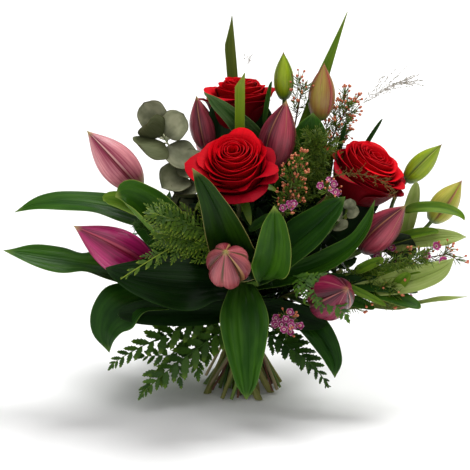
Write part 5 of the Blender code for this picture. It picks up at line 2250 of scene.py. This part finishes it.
SPARE_LEAVES = (
    spare_leaf("far_right_upright", Shade.PALE_LEAF, "leaf_light", 7.5, (158, -4, 150), (6, 0, 20),
               (169, -10, 209), (0, 0, 22)),
    spare_leaf("far_right_arching", Shade.LIGHT_LEAF, "leaf_light", 6, (158, -20, 182), (22, -2, 26),
               (213, -28, 176), (6, 0, -40), (0.3, -0.8, 0.6)),
    spare_leaf("far_right_curled", Shade.LIGHT_LEAF, "leaf_light", 7, (140, -18, 150), (20, -2, 10),
               (190, -24, 163), (10, 0, -12), (0, -0.7, 0.7), curl=50),
    spare_leaf("right_low", Shade.MID_LEAF, "leaf_mid", 6, (88, -52, 108), (20, -6, 6), (128, -62, 100),
               (10, 0, -10), (0, -0.8, 0.6)),
    spare_leaf("right_glossy", Shade.DARK_LEAF, "leaf_dark", 10, (60, -40, 118), (50, -20, 20),
               (168, -62, 116), (30, -4, -16), (0, -0.6, 0.8)),
    spare_leaf("under_rose", Shade.MID_LEAF, "leaf_mid", 5, (12, -62, 175), (14, -6, 18), (37, -78, 196),
               (6, -2, 8), (-0.3, -0.8, 0.5)),
    spare_leaf("left_plain", Shade.DARK_LEAF, "leaf_dark", 15, (-30, -28, 120), (-25, -8, 40),
               (-96, -38, 176), (-40, 0, 10), (0.3, -0.9, 0.4)),
    # Painted shade: near-black leaves that fill gaps where only shade shows.
    spare_leaf("behind_centre", Shade.DEEP_LEAF, "leaf_dark", 13, (-12, 14, 215), (-4, 0, 20), (-17, 12, 283),
               (-2, 0, 20)),
    spare_leaf("behind_bud", Shade.DEEP_LEAF, "leaf_dark", 12, (22, 12, 215), (4, 0, 20), (27, 10, 277),
               (0, 0, 20)),
    spare_leaf("under_right_rose", Shade.DEEP_LEAF, "leaf_dark", 14, (84, -16, 150), (14, 0, 20),
               (134, -12, 196), (14, 0, 6)),
    spare_leaf("beside_right_rose", Shade.DEEP_LEAF, "leaf_dark", 9, (72, 4, 176), (6, 0, 20), (88, 2, 242),
               (2, 0, 16)),
    spare_leaf("over_rose_left", Shade.DARK_LEAF, "leaf_dark", 2.5, (94, 8, 222), (3, 0, 14), (103, 6, 262),
               (2, 0, 12)),
    spare_leaf("over_rose_right", Shade.DARK_LEAF, "leaf_dark", 2.2, (116, 18, 226), (4, 0, 10),
               (138, 14, 264), (8, 0, 10)),
    spare_leaf("by_bud", Shade.MID_LEAF, "leaf_mid", 3, (26, -6, 262), (4, -2, 20), (33, -14, 305),
               (6, -2, 12), (-0.6, -0.8, 0.1)),
    # Painted shade: near-black leaves that fill gaps where only shade shows.
    spare_leaf("low_left", Shade.DEEP_LEAF, "leaf_dark", 15, (-4, -44, 92), (-34, -12, 6), (-110, -60, 94),
               (-26, -4, -6), (0, -0.9, 0.5)),
    spare_leaf("low_right", Shade.DEEP_LEAF, "leaf_dark", 13, (18, -40, 94), (20, -12, 0), (84, -60, 84),
               (20, -4, -6), (0, -0.9, 0.5)),
    spare_leaf("right_bright", Shade.LIGHT_LEAF, "leaf_light", 8, (112, -40, 122), (20, -8, 16),
               (172, -56, 134), (14, 0, -18), (0.1, -0.8, 0.6)),
    spare_leaf("right_shiny", Shade.FRESH_LEAF, "leaf_mid", 9, (118, -54, 116), (20, -8, 6), (170, -72, 104),
               (14, 0, -14), (0.1, -0.7, 0.7)),
    spare_leaf("right_narrow", Shade.LIGHT_LEAF, "leaf_light", 4, (96, -60, 124), (14, -4, -4),
               (138, -70, 106), (12, 0, -8), (0, -0.8, 0.6)),
    spare_leaf("right_rounded", Shade.LIGHT_LEAF, "leaf_light", 6.5, (146, -54, 116), (4, -6, 10),
               (160, -62, 135), (4, -2, 6), (0, -1, 0.3)),
    spare_leaf("right_yellow", Shade.LIGHT_LEAF, "leaf_light", 5, (110, -54, 134), (8, -4, 4),
               (136, -64, 148), (8, -2, -4), (0, -1, 0.4)),
    # Painted light: a lighter finish than its slot's, for a leaf that lies in shade.
    spare_leaf("left_curled", Shade.LIGHT_LEAF, "leaf_mid", 13, (-42, -38, 158), (-16, -10, 50),
               (-122, -48, 200), (-12, 2, -34), (0.2, -0.9, 0.4), curl=55),
)

BLADES = (
    Blade("blade_left", Shade.OLIVE_BLADE, "leaf_mid", TipCut.RIGHT, 28 * MM,
          nudge=((0, 0, 0), (-3.4, 0, 0))),
    Blade("blade_right", Shade.LIGHT_LEAF, "leaf_light", TipCut.EVEN, 62 * MM, 5.6 * MM,
          nudge=((0, 0, 0), (1, 0, 0))),
    Blade("blade_centre", Shade.BRIGHT_LEAF, "leaf_light", TipCut.RIGHT, 14 * MM, 4.5 * MM,
          ((0, 0, 0), (0, -15, 0))),
)

STEMS = (
    Stem("rose_centre_stem", Shade.ROSE_STEM, thorns=9, seed=1, tint=0.6),
    Stem("rose_top_stem", Shade.ROSE_STEM, thorns=8, seed=2, tint=0.4),
    Stem("rose_right_stem", Shade.ROSE_STEM, thorns=8, seed=3, tint=0.8),
    Stem("lily_stem_left", Shade.LIGHT_STEM, seed=4, tint=0.5),
    Stem("lily_stem_front", Shade.LIGHT_STEM, seed=5, tint=0.7),
    Stem("lily_stem_top", Shade.LILY_STEM, seed=6),
    Stem("lily_stem_back", Shade.LILY_STEM, seed=7),
    Stem("lily_stem_right", Shade.LIGHT_STEM, seed=8, tint=0.6),
    Stem("lily_stem_far_right", Shade.LILY_STEM, seed=9),
)

THIN_STEMS = (
    ThinStems("thin_stems_green", 61, Shade.LILY_STEM, 13, 1.5 * MM, (18 * MM, 42 * MM)),
    ThinStems("thin_stems_light", 62, Shade.LIGHT_STEM, 9, 1.8 * MM, (18 * MM, 44 * MM)),
    ThinStems("thin_stems_pale", 64, Shade.PALE_STEM, 6, 1.4 * MM, (24 * MM, 46 * MM)),
    ThinStems("thin_stems_brown", 63, Shade.WOOD, 9, 1.1 * MM, (20 * MM, 46 * MM)),
)

FRONDS = (
    FernFrond("fern_lower_left", 21, Shade.FERN, lobe=7.8 * MM, reach=1.05, wide=0.46,
              face=(-0.3, -1.0, 0.5)),
    FernFrond("fern_low_left_long", 30, Shade.FERN, 0.12, 11, 7.6 * MM, 50.0, 1.05, slim=1.2, wide=0.42,
              stalk=0.9 * MM, path=Guide.free((-6, -22, 70), (-24, -24, 0), (-88, -68, 18), (-20, -6, -34),
              (-0.3, -1.0, 0.5), 18.0)),
    FernFrond("fern_lower_right", 22, Shade.DARK_FERN, pairs=12, reach=0.66, slim=1.1, wide=0.42,
              face=(0.3, -1.0, 0.5)),
    FernFrond("fern_left", 23, Shade.YELLOW_FERN, 0.5, 10, 4.0 * MM, 40.0, 1.1, slim=1.2, wide=0.40,
              face=(-0.1, -0.8, 0.8)),
    FernFrond("fern_behind", 24, Shade.FERN, face=(-0.2, 1.0, 0.5)),
    FernFrond("fern_upper_left", 25, Shade.YELLOW_FERN, 0.1, 9, 4.2 * MM, 34.0, 1.5, wide=0.33,
              stalk=0.7 * MM, path=Guide.free((-2, -62, 160), (-20, -26, 26), (-78, -86, 198), (-36, -8, 4),
              (0, -0.9, 0.6), 20.0)),
    FernFrond("fern_upper_left_low", 29, Shade.YELLOW_FERN, 0.1, 9, 4.2 * MM, 36.0, 1.4, wide=0.33,
              stalk=0.7 * MM, path=Guide.free((-4, -60, 150), (-24, -22, 16), (-72, -80, 177), (-36, -8, -4),
              (0, -0.9, 0.6), 18.0)),
    FernFrond("fern_far_left", 27, Shade.FERN, 0.15, 11, 7.6 * MM, 50.0, 1.05, slim=1.2, wide=0.42,
              stalk=0.9 * MM, path=Guide.free((-10, -16, 80), (-40, -18, 10), (-116, -60, 44), (-24, -8, -36),
              (-0.3, -0.9, 0.5), 18.0)),
    FernFrond("fern_low_right_small", 28, Shade.DARK_FERN, 0.3, 9, 6.0 * MM, reach=0.8, stalk=0.9 * MM,
              path=Guide.free((14, -14, 66), (30, -20, 10), (72, -62, 44), (20, -10, -24), (0.2, -0.9, 0.5),
              16.0)),
    FernFrond("fern_over_bud", 26, Shade.FERN, 0.1, 8, 4.2 * MM, stalk=0.6 * MM,
              path=Guide.free((52, -82, 138), (16, -26, 12), (98, -124, 112), (14, -8, -26), (0.1, -0.9, 0.5),
              11.0)),
)

TREE_LEAVES = (
    RoundLeaf(0.91, (-0.45, -0.1, 0.85), (0.25, -1.0, 0.2), 28, 0.2),
    RoundLeaf(0.88, (-0.5, -0.7, 0.55), (-0.5, 0.7, 0.45), 28, 0.25),
    RoundLeaf(0.88, (0.6, -0.15, 0.75), (-0.1, -1.0, 0.3), 28, 0.15),
    RoundLeaf(0.86, (-0.6, -0.75, 0.1), (-0.35, 0.4, -0.9), 36, 0.12),
    RoundLeaf(0.86, (0.6, -0.5, -0.6), (0.2, -0.75, 0.8), 32, 0.2),
    RoundLeaf(0.79, (0.8, -0.55, -0.1), (0.1, -0.95, 0.4), 29, 0.2),
    RoundLeaf(0.74, (-0.6, -0.75, -0.2), (0.2, -0.75, 0.6), 31, 0.3),
    RoundLeaf(0.71, (0.5, -0.8, 0.1), (0.0, -0.9, 0.4), 29, 0.2),
    RoundLeaf(0.66, (-0.5, -0.8, 0.2), (-0.1, -0.5, 0.85), 30, 0.3),
    RoundLeaf(0.62, (-0.9, -0.2, 0.3), (-0.1, -0.8, 0.5), 27, 0.2),
    RoundLeaf(0.77, (-0.1, 0.9, 0.3), (0.0, 0.6, 0.8), 28, 0.2),
    RoundLeaf(0.86, (0.1, 0.8, 0.5), (0.0, 0.6, 0.7), 24, 0.2),
)
SPARE_TREE_LEAVES = (
    RoundLeaf(1.00, (0.2, -0.3, 0.9), (0.1, -0.9, 0.3), 12, 0.2),
    RoundLeaf(0.93, (0.8, -0.4, 0.2), (0.1, -0.8, 0.5), 13, 0.2),
    RoundLeaf(0.88, (-0.8, -0.3, 0.3), (0.0, -0.9, 0.4), 12, 0.2),
    RoundLeaf(0.76, (0.6, -0.6, 0.1), (0.0, -0.7, 0.7), 15, 0.2),
)
BEHIND_BUD_LEAVES = (
    RoundLeaf(1.00, (0.45, -0.3, 0.7), (0.1, -1.0, 0.3), 30, 0.2),
    RoundLeaf(0.92, (0.75, -0.2, -0.5), (0.1, -0.9, 0.4), 28, 0.2),
    RoundLeaf(0.84, (-0.5, 0.6, 0.5), (0.0, 0.8, 0.5), 22, 0.2),
)

GUMS = (
    Eucalyptus("eucalyptus", TREE_LEAVES, 0.92, ((0, 0, 0), (6, 0, -9))),
    Eucalyptus("eucalyptus_middle", SPARE_TREE_LEAVES, path=Guide.free((30, -8, 100), (20, -8, 30),
               (103, -44, 190), (14, -6, 40))),
    Eucalyptus("eucalyptus_right", BEHIND_BUD_LEAVES, finish=Shade.DARK_GUM, path=Guide.free((40, -2, 90),
               (30, 0, 30), (146, -14, 135), (30, -4, 16))),
)

SPRIGS = (
    Waxflower("waxflower_top", 31, 0.80, 20, 15 * MM, 9, 8, 0.0, nudge=((0, 0, 0), (-1, 0, -8))),
    Waxflower("waxflower_top_left", 37, 0.6, 9, 10 * MM, 6, 3, 0.0, bud_size=3.2 * MM,
              path=Guide.free((46, 10, 200), (2, 6, 40), (62, 12, 296), (4, 2, 30))),
    Waxflower("waxflower_centre", 32, 0.80, 14, 11 * MM, 8, 7, 0.0, nudge=((0, 0, 0), (-2, 0, 14))),
    Waxflower("waxflower_heart", 40, 0.85, 4, 7 * MM, 6, 3, 0.6, 7.4 * MM, path=Guide.free((26, -40, 166),
              (4, -8, 12), (42, -72, 197), (2, -6, 10))),
    Waxflower("waxflower_by_rose", 39, 0.80, 5, 8 * MM, 6, 4, 0.3, 7.4 * MM, path=Guide.free((60, -30, 174),
              (8, -8, 14), (84, -62, 211), (4, -6, 10))),
    Waxflower("waxflower_right", 33, spread=17 * MM, flowers=0.22, nudge=((0, 0, 0), (-12, 0, 1))),
    Waxflower("waxflower_front", 34, 0.62, 9, 10.5 * MM, 5, 4, 0.75, 7.6 * MM, path=Guide.free((24, -16, 70),
              (14, -26, 4), (47, -82, 93), (5, -10, 16))),
    Waxflower("waxflower_low", 35, 0.40, 12, 16 * MM, 8, 3, 0.15, 8.5 * MM, path=Guide.free((40, -16, 92),
              (30, -14, 12), (150, -58, 112), (30, -6, -4))),
    Waxflower("waxflower_behind", 36, 0.55, 14, 22 * MM, 7, 4, 0.1, path=Guide.free((14, 16, 78),
              (10, 20, 30), (34, 96, 210), (2, 30, 40))),
)

PLUMES = (
    Plume("asparagus_fern", 41, Shade.NEEDLE, "fern", 0.45, 46, 34 * MM, 34, 6 * MM, 0.06),
    Plume("panicum_grass", 42, Shade.GRASS, "grass", 0.76, 22, 14 * MM, 11, 2.2 * MM, 0.20, forward=2.6,
          twig=0.16 * MM, stem=0.4 * MM, loose=0.4, nudge=((30, 0, 94), (-14, 0, -2))),
    Plume("panicum_tip", 49, Shade.GRASS, "grass", 0.93, 6, 6 * MM, 4, 2.0 * MM, 0.20, forward=2.0,
          twig=0.12 * MM, stem=0.25 * MM, path=Guide.free((2, 24, 160), (4, 24, 60), (12, 46, 314),
          (2, 0, 40))),
    Plume("asparagus_upper", 43, Shade.NEEDLE, "fern", 0.25, 54, 26 * MM, 32, 6 * MM, 0.06,
          path=Guide.free((50, -12, 170), (10, -10, 40), (74, -22, 252), (2, 0, 30))),
    Plume("asparagus_low_right", 44, Shade.NEEDLE, "fern", 0.3, 44, 24 * MM, 30, 5 * MM, 0.07,
          path=Guide.free((50, -20, 100), (30, -14, 14), (142, -56, 118), (30, -8, 4))),
    Plume("asparagus_right", 47, Shade.NEEDLE, "fern", 0.35, 34, 18 * MM, 26, 5 * MM, 0.07,
          path=Guide.free((60, -30, 112), (34, -16, 20), (172, -64, 150), (34, -8, 12))),
    Plume("asparagus_left", 48, Shade.DARK_FERN, "fern", 0.3, 30, 18 * MM, 26, 5 * MM, 0.07,
          path=Guide.free((-20, -40, 130), (-30, -20, 20), (-84, -60, 182), (-26, -6, 14))),
    Plume("asparagus_over_rose", 45, Shade.BRONZE, "fern", 0.2, 26, 9 * MM, 9, 2.6 * MM, 0.09, twig=0.25 * MM,
          stem=0.5 * MM, path=Guide.free((84, -52, 214), (-2, -40, 74), (142, -82, 214), (22, -6, -60))),
)

# Painted shade: most inner twigs take the near-black finish, for the shade inside the bouquet.
INNER = (
    InnerGreens("inner_greens_left", 51, Shade.DEEP_LEAF, 20, (98, 62, 82), (125, 235)),
    InnerGreens("inner_greens_front", 52, Shade.DEEP_LEAF, 22, (88, 56, 78), (215, 330)),
    InnerGreens("inner_greens_right", 53, Shade.DEEP_LEAF, 22, (118, 60, 84), (-60, 55)),
    InnerGreens("inner_greens_upper_right", 56, Shade.DEEP_LEAF, 26, (122, 52, 108), (-60, 45), (18, 60)),
    InnerGreens("inner_greens_centre", 57, Shade.DEEP_LEAF, 12, (52, 64, 92), (225, 315), (12, 52)),
    InnerGreens("inner_greens_back", 54, Shade.DARK_LEAF, 30, (100, 104, 100), (35, 150)),
    InnerGreens("inner_greens_top", 55, Shade.DEEP_LEAF, 20, (66, 50, 112), (0, 360), (45, 82)),
)


def main() -> None:
    """Builds the studio and every piece of the bouquet."""
    logging.basicConfig(level=logging.INFO, format="%(name)s: %(message)s")
    Studio().build()
    groups = (ROSES, BUDS, LEAVES, SPARE_LEAVES, BLADES, STEMS, THIN_STEMS, (Twine(),), FRONDS, GUMS,
              SPRIGS, PLUMES, INNER)
    for piece in (piece for group in groups for piece in group):
        piece.build()


if __name__ == "__main__":
    main()
